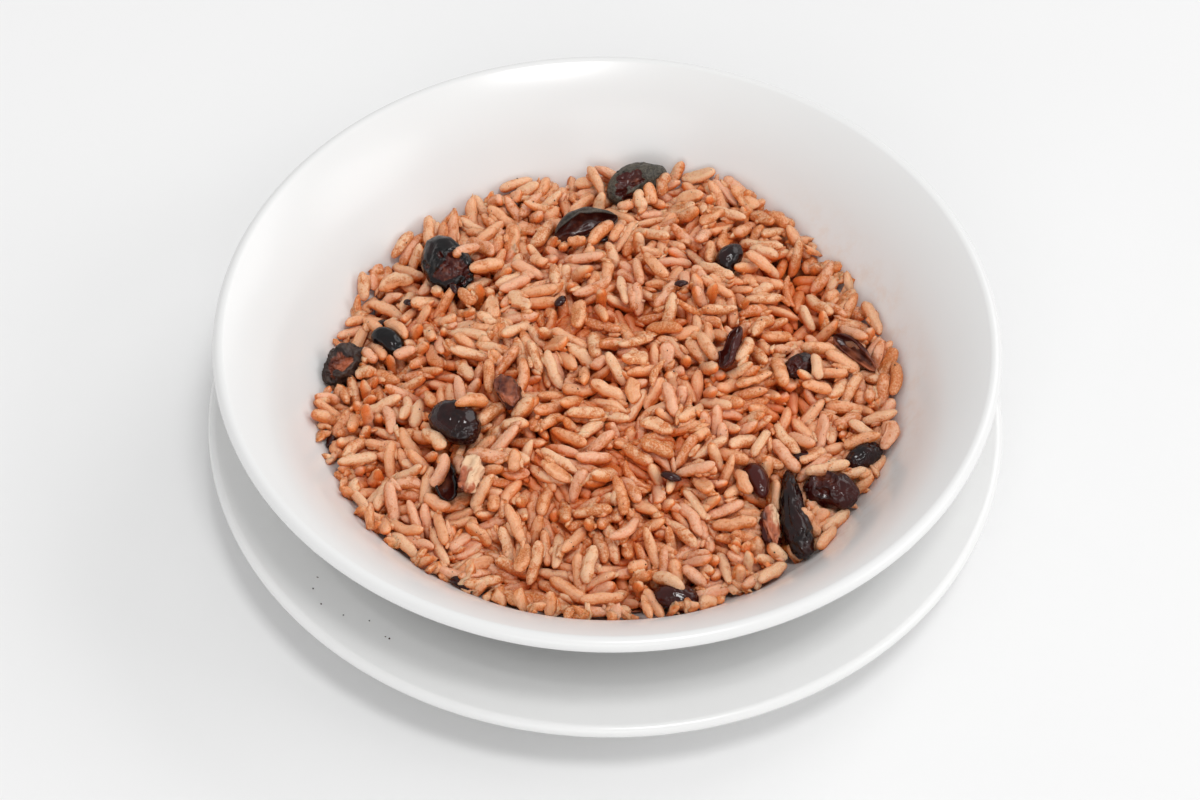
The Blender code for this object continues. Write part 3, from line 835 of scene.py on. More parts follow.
def grain_contacts(rods, beans, centre, axis, shown):
    """Where two of the grains that show touch or nearly do: halfway between their closest points, and the way
    halfway between their axes."""
    total, half, radius = len(centre), rods.half, rods.radius
    one, two = near_pairs(rods, np.concatenate([centre, beans.centre]), 0.0)
    grains = (one < total) & (two < total)
    one, two = one[grains], two[grains]
    s, t = closest(centre[one] - centre[two], axis[one], axis[two], half[one], half[two])
    first, second = centre[one] + s[:, None] * axis[one], centre[two] + t[:, None] * axis[two]
    touching = np.linalg.norm(first - second, axis=1) < (radius[one] + radius[two]) * 1.05
    touching &= shown[one] & shown[two]
    same = np.sign(np.sum(axis[one] * axis[two], axis=1, keepdims=True) + 1e-9)
    bridge = unit(axis[one] + same * axis[two])
    return np.stack([(first + second) / 2, bridge], axis=1)[touching]


@functools.lru_cache(maxsize=4)
def loose_grains(loose, depth, rounds):
    """Every loose grain of the heap: which kind it is, where it lies and how it looks.

    The grains start at random places, a share of them on top of the heap, and at random angles. They
    settle round the beans and the few grains that lean on the beans, which all hold still. Loose grains
    that come to rest before a bean are left out.
    """
    rng = np.random.default_rng(20)
    shares = np.array([kind.share for kind in KINDS])
    kind = rng.choice(len(KINDS), size=loose, p=shares / shares.sum())
    length = rng.uniform(*(np.array([k.length for k in KINDS])[kind] * MM).T)
    width = rng.uniform(*(np.array([k.width for k in KINDS])[kind] * MM).T)
    beans = bean_rods()
    start = grain_starts(loose, depth, beans, rng)
    upper = rng.uniform(0, 1, loose) < UPPER_SHARE
    start[upper, 2] = heap_height(start[:, 0], start[:, 1])[upper] + UPPER_LIFT
    heading = rng.uniform(0, 2 * np.pi, loose)
    tilt = np.radians(rng.normal(0, TILT, loose))
    proud = rng.gamma(1.0, 0.7 * MM, loose) + upper * 2.2 * MM + 0.35 * length * np.abs(np.sin(tilt))
    x, y, lift, lean_length, lean_heading, lean_tilt = np.array(LEANING).T
    x, y = x * MM, y * MM
    start = np.concatenate([start, np.stack([x, y, heap_height(x, y) + lift * MM], axis=1)])
    heading = np.concatenate([heading, np.radians(lean_heading)])
    tilt = np.concatenate([tilt, np.radians(lean_tilt)])
    length = np.concatenate([length, lean_length * MM])
    width = np.concatenate([width, rng.uniform(3.0, 3.4, len(x)) * MM])
    kind = np.concatenate([kind, rng.choice(3, len(x))])
    axis = np.stack([np.cos(heading) * np.cos(tilt), np.sin(heading) * np.cos(tilt), np.sin(tilt)], axis=1)
    radius = width / 2 * GRAIN_ROD
    half = np.maximum(length / 2 - radius, 0.3 * MM)
    rods = Rods(*(np.concatenate(parts) for parts in zip((start, axis, half, radius), beans)))
    still = np.zeros(len(x) + len(BEANS))
    free, proud = np.concatenate([np.ones(loose), still]), np.concatenate([proud, still])
    centre, axis = settle(rods, free, proud, depth, rounds)
    total = len(kind)
    centre, axis = centre[:total], axis[:total]
    spots = [centre + part * half[:, None] * axis for part in (-1.0, 0.0, 1.0)]
    shown = ~np.any([hiding(spot, beans, GRAIN_HIDES) for spot in spots], axis=0)
    shown[loose:] = True
    contacts = grain_contacts(rods, beans, centre, axis, shown)
    patch = rough(centre / (11 * MM), seed=5, layers=2)
    sliver = kind == len(KINDS) - 1
    stain = np.clip(0.25 + 0.75 * patch + rng.normal(0, 0.18, total) + sliver, 0, 1.3)
    tone = rng.uniform(0, 1, total)
    return Heap(*(part[shown] for part in (kind, centre, axis, length, width, tone, stain)), contacts)


def grain_form(kind, centre, axis, length, width, seed):
    """Grains as forms of eight sectors.

    Along a grain the thickness is the root of one less a high power of the distance from its middle, so
    its ends are blunt, each in its own way; a snapped grain keeps its thickness up to one end. Both ends
    are cut a little aslant. The grain bows by a square of that distance, and a noise kinks it and makes
    it uneven. A burst grain is wider and has a groove along its top. Each is laid along its axis and
    lifted off the wall.
    """
    rng = np.random.default_rng(seed)
    count, rings, sectors = len(centre), 10, 8
    along, around = ring_grid(rings, sectors)
    along, around = along[None], around[None]
    each = (count, 1, 1)
    blunt = kind.blunt + np.where(along > 0, rng.uniform(-0.9, 1.6, each), rng.uniform(-0.9, 1.0, each))
    if kind.snapped:
        blunt = np.where(along > 0, 9.0, blunt)
    thick = np.sqrt(1 - np.abs(along) ** blunt) * (1 + rng.uniform(-0.12, 0.12, each) * along)
    flat = rng.uniform(0.78, 0.95, each)
    bow = kind.bow * rng.uniform(0.3, 1.5, each) * length[:, None, None]
    lean = rng.normal(0, 0.35, each)
    local = np.stack(np.broadcast_arrays(2.4 * along, 1.1 * np.cos(around), 1.1 * np.sin(around)), axis=-1)
    start = 31 * rng.uniform(0, 1, (count, 1, 1, 1))
    uneven = 1 + 0.15 * noise(local + start, seed=seed)
    kink = noise(np.repeat(1.7 * along[..., None] + start, 3, axis=-1), seed=seed + 1)
    ridges = 1 + rng.uniform(-0.01, 0.06, each) * np.cos(4 * around)
    half = width[:, None, None] / 2 * thick * uneven * ridges
    aslant = rng.uniform(0, 0.55, each) * np.cos(around - rng.uniform(0, 6, each)) * half * along**3
    x = along * length[:, None, None] / 2 + aslant
    y = half * np.cos(around) + bow * (along**2 - 0.33) + 0.14 * kink * width[:, None, None] * (1 - along**2)
    z = half * np.sin(around) * flat + lean * 0.25 * bow * along**3
    if kind.burst:
        groove = np.exp(-(((around - np.pi / 2) / 0.5) ** 2)) * (1 - along**2)
        z = z - 0.30 * width[:, None, None] * groove
    return lifted(place_forms(np.stack([x, y, z], axis=-1), length, bow, axis, centre, rng, kind.burst))


def in_space(rings, first, last, basis, centre):
    """Forms laid in space: each point's three distances go along the rows of its form's basis, from its
    middle."""
    rings = np.einsum("nrsk,nkj->nrsj", rings, basis) + centre[:, None, None, :]
    return Form(rings, *(np.einsum("nk,nkj->nj", pole, basis) + centre for pole in (first, last)))


def place_forms(local, length, bow, axis, centre, rng, level):
    """Lay forms along their axes, each rolled about its own at random or, where level, by only a little."""
    count = len(centre)
    side = unit(np.cross([0.0, 0.0, 1.0], axis))
    over = np.cross(axis, side)
    roll = rng.normal(0, 0.5, count) if level else rng.uniform(0, 2 * np.pi, count)
    turn_c, turn_s = np.cos(roll)[:, None], np.sin(roll)[:, None]
    side, over = side * turn_c + over * turn_s, over * turn_c - side * turn_s
    tip = np.stack([length / 2, 0.67 * bow[:, 0, 0], np.zeros(count)], axis=1)
    return in_space(local, tip * (-1, 1, 1), tip, np.stack([axis, side, over], axis=1), centre)


def lifted(form):
    """Forms raised so that none of them reaches far into the bowl: each goes up by the depth of its lowest
    point under the wall's face, less a small allowance."""
    points = form_points(form).reshape(len(form.first), -1, 3)
    under = wall_height(np.hypot(points[..., 0], points[..., 1])) - points[..., 2]
    rise = np.maximum(under.max(axis=1) - WALL_DEPTH, 0.0)[:, None] * (0.0, 0.0, 1.0)
    return Form(form.rings + rise[:, None, None], form.first + rise, form.last + rise)


def lump_form(centre, size, seed, jag, rings, sectors, axis=None):
    """Crumbs as forms: unit spheres whose radius a noise makes uneven, stretched to their sizes, along their
    axes or, without these, along random ones, and turned at random about them."""
    rng = np.random.default_rng(seed)
    count = len(centre)
    shift = 40 * rng.uniform(0, 1, (count, 1, 1, 3))
    ball = ball_points(*ring_grid(rings, sectors))[None]
    parts = ((ball, shift), (POLES[0], shift[:, 0, 0]), (POLES[1], shift[:, 0, 0]))
    uneven = (part * (1 + jag * noise(part * 1.6 + own, seed))[..., None] for part, own in parts)
    axis = unit(rng.normal(0, 1, (count, 3))) if axis is None else axis
    side = unit(np.cross(axis, rng.normal(0, 1, (count, 3))))
    basis = np.stack([axis, side, np.cross(axis, side)], axis=1) * size[:, :, None]
    return in_space(*uneven, basis, centre)


def depth_below(points):
    """How deep points lie under the heap's surface, from 0 at the top to 1 where the painted shade in the
    gaps is darkest.
    """
    under = heap_height(points[:, 0], points[:, 1]) - points[:, 2]
    return np.clip(under / PAINTED_SHADE_DEPTH, 0.0, 1.0)


def juice_at(points):
    """How wet with bean juice points are: a falling exponential of the distance from the nearest bean."""
    beans = bean_rods()
    return np.exp(-np.maximum(beyond(points, *beans), 0) / JUICE_REACH)


def turned_down(form):
    """How far each point looks down from its ring's middle: 0 at the top of the ring and 1 at its bottom."""
    rise = form.rings[..., 2] - form.rings[..., 2].mean(axis=2, keepdims=True)
    reach = np.abs(rise).max(axis=2, keepdims=True)
    count, rings, sectors = rise.shape
    share = (0.5 - 0.5 * rise / np.maximum(reach, 1e-9)).reshape(count, rings * sectors)
    middle = np.full((count, 1), 0.5)
    return np.concatenate([middle, share, middle], axis=1).ravel()


def rice_fields(form, tone, stain):
    """What the rice finish reads: the tone and stain of each grain or lump, and how deep, how wet with juice
    and how far turned down each point is."""
    points = form_points(form)
    return {
        "tone": spread(tone, form),
        "stain": spread(stain, form),
        "deep": depth_below(points),
        "juice": juice_at(points),
        "down": turned_down(form),
    }


def mash_form(contacts, rng):
    """Broken, soft rice as a form: lumps drawn out along the grains, in crevices near the surface where two
    grains touch, and larger ones that lie on the wall along the heap's edge. Those that lie before a bean
    are left out, and the others are lifted off the wall."""
    x, y, z = contacts[:, 0].T
    shallow = np.flatnonzero(surface_height(x, y) - z < MASH_DEPTH)
    chosen = contacts[rng.permutation(shallow)[:MASH_LUMPS]]
    centre = chosen[:, 0] + rng.normal((0, 0, 0.15), 0.2, (len(chosen), 3)) * MM
    angle = rng.uniform(0, 2 * np.pi, EDGE_LUMPS)
    reach = edge_radius(angle) + loose_reach(angle) - rng.uniform(*EDGE_INSET, EDGE_LUMPS) * MM
    edge = np.stack([*polar(reach, angle), wall_height(reach) + EDGE_LIFT], axis=1)
    centre = np.concatenate([centre, edge])
    axis = np.concatenate([chosen[:, 1], unit(rng.normal(0, 1, edge.shape))])
    larger = np.concatenate([np.ones(len(chosen)), np.full(len(edge), EDGE_LARGER)])
    shown = ~hiding(centre, bean_rods(), LUMP_HIDES)
    centre, axis, larger = centre[shown], axis[shown], larger[shown, None]
    size = rng.uniform(0.7, 1.25, (len(centre), 1)) * MM * LUMP_SIZE
    size = size * rng.uniform(0.7, 1.3, size.shape) * larger
    return lifted(lump_form(centre, size, seed=72, jag=0.6, rings=4, sectors=7, axis=axis))


# ---------------------------------------------------------------- beans


def bean_shape(unit_points, bean, size):
    """A bean's surface from a sphere's points: an egg that thins by its taper and bows by its bend.

    A shallow dimple halfway along one side gives it the waist of a kidney.
    """
    length, width, depth = size
    along, side, rise = np.moveaxis(unit_points, -1, 0)
    thin = 1.0 - bean.taper * along
    waist = 1.0 - 0.10 * np.exp(-((along / 0.4) ** 2)) * np.clip(-side, 0.0, 1.0)
    x = along * length / 2
    y = side * thin * waist * width / 2 - bean.bend * width * along**2
    z = rise * thin * depth / 2
    return np.stack([x, y, z], axis=-1)


def bean_skin_shape(points, bean, seed):
    """A filled bean's points and how much of each is bare flesh.

    Its skin has a few broad dents, and creases as deep as it is wrinkled: the greater of two creased
    fields, so that smooth facets meet in sharp folds. Where it is torn, an uneven oval on its top is
    sunk into mealy flesh, and the skin round it curls up.
    """
    size = np.array(bean.size) * MM
    place = bean_shape(points, bean, size)
    outward = unit(points / size)
    warp = points + 0.25 * np.stack([noise(points * 2 + seed + 9 * k, seed) for k in range(3)], axis=-1)
    dents = (0.040 + 0.035 * bean.tear) * rough(points * 1.3 + seed, seed, layers=2)
    lengthwise = creased(warp * (2.2, 3.0, 3.0) + seed, seed)
    folds = np.maximum(lengthwise, creased(warp * (3.1, 2.3, 3.4) - seed, seed + 1))
    fine = creased(warp * (6.0, 8.0, 8.0) + seed, seed + 2)
    wrinkles = 0.060 * bean.wrinkle * folds + 0.022 * bean.wrinkle * fine
    rise = (dents * (0.5 + bean.wrinkle) + wrinkles) * size[1]
    length, width, depth = size
    hollow = np.array([-0.22 * length, -0.10 * width, 0.42 * depth])
    reach = np.linalg.norm((place - hollow) / (0.27 * length, 0.36 * width, 0.46 * depth), axis=-1)
    reach = reach + 0.62 * rough(points * 2.6 + seed, seed + 5, layers=2)
    reach = reach + 0.24 * rough(points * 7.0 - seed, seed + 6, layers=2)
    flesh = (1 - step(reach, 0.80, 1.0)) * (bean.tear > 0)
    curl = np.exp(-(((reach - 1.12) / 0.13) ** 2)) * (bean.tear > 0)
    meal = 0.07 * rough(points * 5 + seed, seed + 7) + 0.05 * creased(warp * 3.5 + seed, seed + 8)
    rise = rise * (1 - flesh) + flesh * (meal - 0.10 * bean.tear) * width + 0.035 * bean.tear * curl * width
    return place + outward * rise[..., None], flesh


def half_shape(points, bean, seed):
    """A peeled half's points and how bare each is. It is the bean's lower part with a flat upper face, a
    shallow groove along it and chunky, mealy sides, and a red one keeps some skin round its rim."""
    size = np.array(bean.size) * MM
    place = bean_shape(points, bean, size)
    meal = 0.08 * rough(points * 3 + seed, seed)
    meal = meal + 0.12 * bean.wrinkle * creased(points * 1.9 + seed, seed + 3)
    place = place + unit(points / size) * (meal * size[1])[..., None]
    level = (0.24 + 0.16 * noise(points * 2.2 + seed, seed)) * size[2]
    groove = 0.05 * size[2] * np.exp(-((points[..., 1] / 0.25) ** 2))
    top = place[..., 2]
    z = np.minimum(top, level - groove) + 0.25 * np.maximum(top - level, 0)
    place = np.concatenate([place[..., :2], z[..., None]], axis=-1)
    rim = step(points[..., 2] + 0.25 * noise(points * 3 + seed, seed), -0.5, 0.1) * (points[..., 2] < 0.25)
    return place, 1 - 0.8 * rim * (bean.red > 0.65)


def paleness(form, bean, seed):
    """How pale the flesh is at each of a bean's points: paler towards one side and end, with a noise."""
    points = form_points(form)
    share = points / (np.array(bean.size) * MM / 2)
    change = 0.35 * rough(share * 2 + seed, seed) - 0.45 * share[:, 1] + 0.30 * share[:, 0]
    return np.clip(bean.pale + 1.6 * bean.pale * change, 0, 1)


def bean_fields(flesh, red, dull, pale):
    """What the bean finish reads at each point: how bare, red, dull and pale it is. The last three may be
    given as one number for all points."""
    return {"flesh": flesh, "red": 0 * flesh + red, "dull": 0 * flesh + dull, "pale": 0 * flesh + pale}


def filled_form(bean, seed):
    """A whole, torn or halved bean as a form about its own axis, with its bare flesh."""
    shape = half_shape if bean.form == "half" else bean_skin_shape
    grid = (POLES[0], ball_points(*ring_grid(60, 60))[None], POLES[1])
    (first, rings, last), flesh = zip(*(shape(points, bean, seed) for points in grid))
    return Form(rings, first, last), np.concatenate([part.ravel() for part in flesh])


def empty_form(bean, seed, rings=40, columns=24):
    """An empty skin as a form: a thin sheet bent round most of a bean, open at the top.

    Its section is a loop, out along the sheet's outside and back along its inside. The sheet's two
    edges wander with a noise and curl inwards, and creases run through it. The inside counts partly as
    flesh, and so does the outside of a pale skin.
    """
    size = np.array(bean.size) * MM
    along, _ = ring_grid(rings, 2)
    share = np.linspace(0, 1, columns)[None, :]
    line = np.concatenate([along * 3, 0 * along, 0 * along], axis=-1)
    left = np.radians(163 + 20 * noise(line + seed, seed))[:, None]
    right = np.radians(377 + 20 * noise(line - seed, seed + 1))[:, None]
    angle = left + (right - left) * share
    ball = ball_points(along, angle)
    curl = 1 - 0.16 * np.abs(2 * share - 1) ** 5
    crumple = curl + 0.12 * bean.wrinkle * creased(ball * (2.4, 3, 3) + seed, seed)
    crumple = crumple + 0.05 * rough(ball * 2 + seed, seed)
    outer = bean_shape(ball, bean, size)
    outer = np.stack([outer[..., 0], outer[..., 1] * crumple, outer[..., 2] * crumple], axis=-1)
    wall = np.minimum(SKIN_THICKNESS / np.maximum(np.linalg.norm(outer[..., 1:], axis=-1), 1e-9), 0.45)
    inner = outer * (1 - np.stack([0 * wall, wall, wall], axis=-1))
    loop = np.concatenate([outer, inner[:, ::-1]], axis=1)
    flesh = np.repeat([[0.6 * (bean.pale > 0)] * columns + [0.6] * columns], rings, axis=0)
    form = Form(loop[None], *(bean_shape(pole, bean, size) for pole in POLES))
    return form, np.concatenate([[0.0], flesh.ravel(), [0.0]])


def laid(form, bean, middle):
    """A form turned as its bean lies and moved so that the middle of its rings' box is at a place."""
    rings, first, last = (part @ bean_turn(bean).T for part in form)
    body = rings.reshape(-1, 3)
    shift = np.array(middle) - (body.min(0) + body.max(0)) / 2
    return Form(rings + shift, first + shift, last + shift)


# ---------------------------------------------------------------- materials


class Wire:
    """A socket's value in a material's sums: Python's operators on it add Math nodes."""

    def __init__(self, recipe, link):
        self.recipe = recipe
        self.link = link

    def _maths(self, operation, first, second):
        return self.recipe.node("ShaderNodeMath", {"operation": operation}, {0: first, 1: second})

    def __add__(self, other):
        return self._maths("ADD", self, other)

    def __sub__(self, other):
        return self._maths("SUBTRACT", self, other)

    def __rsub__(self, other):
        return self._maths("SUBTRACT", other, self)

    def __mul__(self, other):
        return self._maths("MULTIPLY", self, other)

    __radd__ = __add__
    __rmul__ = __mul__

    def over(self, low, high):
        """A smooth step of this value from 0 at low to 1 at high."""
        sockets = {"Value": self, "From Min": low, "From Max": high}
        return self.recipe.node("ShaderNodeMapRange", {"interpolation_type": "SMOOTHSTEP"}, sockets)


class Recipe:
    """A finish being made: its material, its shader, and one method that adds any node."""

    def __init__(self, name):
        self.material = bpy.data.materials.new(name)
        self.material.use_nodes = True
        self.tree = self.material.node_tree
        self.shader = self.tree.nodes["Principled BSDF"]

    def node(self, kind, settings=None, sockets=None, output=0):
        """Add a node: its settings first, a ramp's stops among them, then its sockets' values or links."""
        node = self.tree.nodes.new(kind)
        for name, value in (settings or {}).items():
            if name == "stops":
                ramp = node.color_ramp
                while len(ramp.elements) < len(value):
                    ramp.elements.new(1.0)
                for element, (position, color) in zip(ramp.elements, value):
                    element.position = position
                    element.color = (*color, 1.0)
            else:
                setattr(node, name, value)
        self.fill(node, sockets or {})
        return Wire(self, node.outputs[output])

    def fill(self, node, sockets):
        """Give a node's sockets their values, or link what feeds them."""
        for name, value in sockets.items():
            if isinstance(value, Wire):
                self.tree.links.new(value.link, node.inputs[name])
            elif hasattr(value, "__len__") and len(value) == 3 and node.inputs[name].type == "RGBA":
                node.inputs[name].default_value = (*value, 1.0)
            else:
                node.inputs[name].default_value = value

    def field(self, name):
        """The value of one of the mesh's attributes."""
        return self.node("ShaderNodeAttribute", {"attribute_name": name}, output="Fac")

    def place(self):
        """The point's place on the serving."""
        return self.node("ShaderNodeTexCoord", output="Object")

    def grain(self, vector, scale, detail=2.0, roughness=0.5):
        """A noise of so many waves to the metre."""
        sockets = {"Vector": vector, "Scale": scale, "Detail": detail, "Roughness": roughness}
        return self.node("ShaderNodeTexNoise", {}, sockets)

    def mix(self, factor, first, second):
        """Two colours mixed by a factor."""
        sockets = {"Factor": factor, 6: first, 7: second}
        return self.node("ShaderNodeMix", {"data_type": "RGBA"}, sockets, output=2)

    def bump(self, height, strength, distance):
        """The surface tilted as a height field would tilt it."""
        sockets = {"Height": height, "Strength": strength, "Distance": distance}
        return self.node("ShaderNodeBump", {}, sockets, output="Normal")

    def part(self, vector, axis):
        """One of a vector's three parts, X, Y or Z."""
        return self.node("ShaderNodeSeparateXYZ", {}, {"Vector": vector}, output=axis)

    def finish(self, **sockets):
        """Feed the shader and return the material."""
        self.fill(self.shader, {name.replace("_", " "): value for name, value in sockets.items()})
        return self.material


def tint(color, amount):
    """A colour made lighter or darker by an amount, or by one for each of its parts, and at most 1."""
    return tuple(np.minimum(np.array(color) * amount, 1.0).tolist())


def glaze_finish(looks, name, oily):
    """White glaze: almost even, with faint clouds in its colour and gloss and a slow waviness; on the bowl,
    thin oily smears on the inside of the wall, on its right just above the rice."""
    recipe = Recipe(name)
    place = recipe.place()
    clouds = recipe.grain(place, 28.0)
    color = recipe.mix(clouds.over(0.3, 0.7), tint(looks.glaze, 0.985), looks.glaze)
    rough_level = looks.gloss_roughness + 0.06 * recipe.grain(place, 90.0, 3.0)
    if oily:
        side, height = recipe.part(place, "X").over(0.035, 0.055), recipe.part(place, "Z")
        band = (1.0 - height.over(0.026, 0.036)) * height.over(0.014, 0.018)
        facing_up = recipe.part(recipe.node("ShaderNodeTexCoord", output="Normal"), "Z").over(0.0, 0.3)
        smear = band * side * facing_up * recipe.grain(place, 170.0, 4.0, 0.7).over(0.42, 0.72)
        color = recipe.mix(smear * 0.3, color, looks.oil)
        rough_level = rough_level - smear * 0.12
    waves = recipe.bump(recipe.grain(place, 14.0, 1.0), 0.12, 0.0006)
    return recipe.finish(Base_Color=color, Roughness=rough_level, Normal=waves)


def rice_finish(looks):
    """Cooked grains: cream, peach or glassy pink by grain, pale streaks along each, a painted sheen on the
    top, a painted orange glow and painted shade on the sides that look down, an uneven orange film where it
    is stained, small dark specks, dark bean juice beside beans, and painted shade, darker and redder, down in
    the gaps."""
    recipe = Recipe("cooked_rice")
    place = recipe.place()
    tone, stain = recipe.field("tone"), recipe.field("stain")
    deep, juice, down = recipe.field("deep"), recipe.field("juice"), recipe.field("down")
    lie = recipe.node("ShaderNodeUVMap", {"uv_map": "around_along"})
    lanes = recipe.node("ShaderNodeVectorMath", {"operation": "MULTIPLY"}, {0: lie, 1: (14.0, 1.6, 1.0)})
    own = recipe.node("ShaderNodeCombineXYZ", {}, {"Z": tone * 60.0, "X": stain * 9.0})
    lanes = recipe.node("ShaderNodeVectorMath", {"operation": "ADD"}, {0: lanes, 1: own})
    streaks = recipe.grain(lanes, 1.0, 2.0, 0.6)
    film = recipe.grain(place, 420.0, 4.0, 0.65)
    fine = recipe.grain(place, 2200.0, 2.0, 0.6)
    clear, peach = looks.clear, looks.peach
    stops = ((0.0, clear), (0.22, clear), (0.32, peach), (0.55, peach), (0.80, looks.cream))
    base = recipe.node("ShaderNodeValToRGB", {"stops": stops}, {"Fac": tone})
    # A paler, whiter cream as a painted sheen, along the streaks and on the tops of the grains.
    light = tint(looks.cream, (1.00, 1.09, 1.30))
    color = recipe.mix((streaks * 0.9 - 0.8 * down).over(-0.15, 0.50) * 0.50, base, light)
    # Painted shade with a painted orange glow: the sides of each grain that look down turn a deeper orange.
    color = recipe.mix(down.over(0.08, 0.75) * 0.75, color, tint(looks.stain, 1.4))
    # The orange film is a real stain; its lean towards the sides that look down adds painted shade.
    crust = (1.3 * stain + 5.5 * film + 1.0 * down - 3.15).over(0.0, 1.0)
    crust = crust * (0.15 + 0.95 * fine.over(0.30, 0.62))
    color = recipe.mix(crust, color, looks.stain)
    color = recipe.mix(fine.over(0.50, 0.72) * 0.30, color, looks.gap)
    specks = recipe.grain(place, 1500.0, 1.0).over(0.735, 0.765)
    color = recipe.mix(specks * 0.6, color, looks.juice)
    color = recipe.mix((juice * (0.4 + film)).over(0.25, 1.0) * 0.6, color, tint(looks.juice, 1.8))
    # Painted shade: darker and redder with depth under the heap's surface and on the sides that look down.
    color = recipe.mix((deep * 1.1 + down * 1.0).over(0.25, 1.15) * 0.9, color, looks.gap)
    relief = recipe.bump(streaks * 0.5 + film * 1.6 + fine * 0.8, 0.8, 0.00042)
    return recipe.finish(
        Base_Color=color, Roughness=0.17 + 0.25 * film, Normal=relief, Subsurface_Weight=0.6,
        Subsurface_Radius=(1.0, 0.8, 0.6), Subsurface_Scale=0.6 * MM, Specular_IOR_Level=0.45)


def core_finish(looks):
    """The packed rice under the loose grains: painted dark, wet red-brown as the shade that shows through the
    gaps between them, lighter on its lumps.
    """
    recipe = Recipe("packed_rice")
    place = recipe.place()
    lumps = recipe.grain(place, 330.0, 4.0, 0.6)
    # The core's dark colour is painted shade where the gaps between the grains show it.
    color = recipe.mix(lumps.over(0.35, 0.70), tint(looks.juice, 1.8), tint(looks.stain, 0.8))
    relief = recipe.bump(lumps, 0.8, 0.0008)
    return recipe.finish(Base_Color=color, Roughness=0.35 + 0.3 * lumps, Normal=relief)


def skin_finish(looks, rice):
    """Bean skin and bare flesh by the mesh's own fields: near-black to red-brown skin, glossy or with a dry
    grey bloom, and mealy flesh from cream to brown where it is bare."""
    recipe = Recipe("bean_skin")
    place = recipe.place()
    flesh, red, dull, pale = (recipe.field(name) for name in ("flesh", "red", "dull", "pale"))
    broad = recipe.grain(place, 260.0, 3.0, 0.6)
    fine = recipe.grain(place, 1400.0, 3.0, 0.7)
    skin = recipe.mix((red + broad * 0.8 - 0.4).over(0.05, 0.9), looks.black, looks.red)
    bloom = (dull * (0.3 + broad)).over(0.25, 0.9) * (0.2 + 0.8 * fine.over(0.35, 0.65))
    skin = recipe.mix(bloom, skin, looks.dull)
    dark = recipe.mix(broad.over(0.35, 0.65), looks.red, looks.brown)
    light = pale + broad * 0.8 - 0.4
    meat = recipe.mix(light.over(0.0, 0.45), dark, looks.tan)
    meat = recipe.mix(light.over(0.45, 0.85), meat, looks.cream)
    meat = recipe.mix(fine.over(0.60, 0.72) * 0.5, meat, tint(rice.juice, 1.5))
    bare = (flesh + 0.25 * fine - 0.12).over(0.30, 0.65)
    color = recipe.mix(bare, skin, meat)
    gloss = 0.05 + 0.42 * dull + 0.14 * broad * fine
    rough_level = gloss * (1.0 - bare) + bare * (0.16 + 0.40 * pale)
    relief = recipe.bump(broad * 0.9 + fine * (0.15 + 0.3 * dull), 0.3, 0.0005)
    return recipe.finish(Base_Color=color, Roughness=rough_level, Normal=relief, Specular_IOR_Level=0.35)


def floor_finish(looks):
    """The pale floor: matt, with the faintest unevenness in its colour."""
    recipe = Recipe("pale_floor")
    clouds = recipe.grain(recipe.place(), 9.0, 3.0)
    color = recipe.mix(clouds.over(0.3, 0.7), tint(looks.floor, 0.99), looks.floor)
    return recipe.finish(Base_Color=color, Roughness=0.9 + 0.05 * clouds, Specular_IOR_Level=0.1)


# ---------------------------------------------------------------- operators


class SERVING_OT_dishes(bpy.types.Operator):
    """Turn the bowl and its underplate and give them their white glaze"""

    bl_idname = "serving.dishes"
    bl_label = "Bowl and Underplate"
    bl_options = {"REGISTER", "UNDO"}

    def execute(self, context):
        looks = context.scene.serving_dishes
        for node, dish, oily in (("bowl", BOWL, True), ("underplate", UNDERPLATE, False)):
            glaze = glaze_finish(looks, node + "_glaze", oily)
            add_piece(node + "_turned", turned(dish, looks.sectors), glaze, (node,))
        return {"FINISHED"}


class SERVING_OT_rice(bpy.types.Operator):
    """Fill the bowl with the packed core and lay every kind of loose grain over it"""

    bl_idname = "serving.rice"
    bl_label = "Rice"
    bl_options = {"REGISTER", "UNDO"}

    def execute(self, context):
        looks = context.scene.serving_rice
        heap = loose_grains(looks.grains, looks.depth, looks.rounds)
        add_piece("rice_core", core_form(looks.depth), core_finish(looks), ("rice_heap",))
        material = rice_finish(looks)
        for number, kind in enumerate(KINDS):
            own = heap.kind == number
            centre, axis, length, width, tone, stain = (part[own] for part in heap[1:7])
            form = grain_form(kind, centre, axis, length, width, seed=50 + number)
            fields = rice_fields(form, tone, stain)
            add_piece(kind.name, form, material, ("rice_heap",), fields)
        rng = np.random.default_rng(71)
        form = mash_form(heap.contacts, rng)
        fields = rice_fields(form, *rng.uniform((0.2, 0.1), (0.9, 0.7), (len(form.first), 2)).T)
        add_piece("rice_mash", form, material, ("rice_heap",), fields)
        return {"FINISHED"}


class SERVING_OT_beans(bpy.types.Operator):
    """Lay each whole, torn, peeled or empty bean in its place"""

    bl_idname = "serving.beans"
    bl_label = "Beans"
    bl_options = {"REGISTER", "UNDO"}

    def execute(self, context):
        material = skin_finish(context.scene.serving_beans, context.scene.serving_rice)
        for number, bean in enumerate(BEANS):
            make = empty_form if bean.form == "skin" else filled_form
            seed = 3.7 * number + 1.0
            form, flesh = make(bean, seed)
            pale = paleness(form, bean, seed)
            form = laid(form, bean, bean_middle(bean))
            fields = bean_fields(flesh, bean.red, bean.dull, pale)
            slot = "bean_flesh" if bean.form == "half" else "bean_skin"
            add_piece(bean.name + "_piece", form, material, (bean.name,), fields)
        return {"FINISHED"}


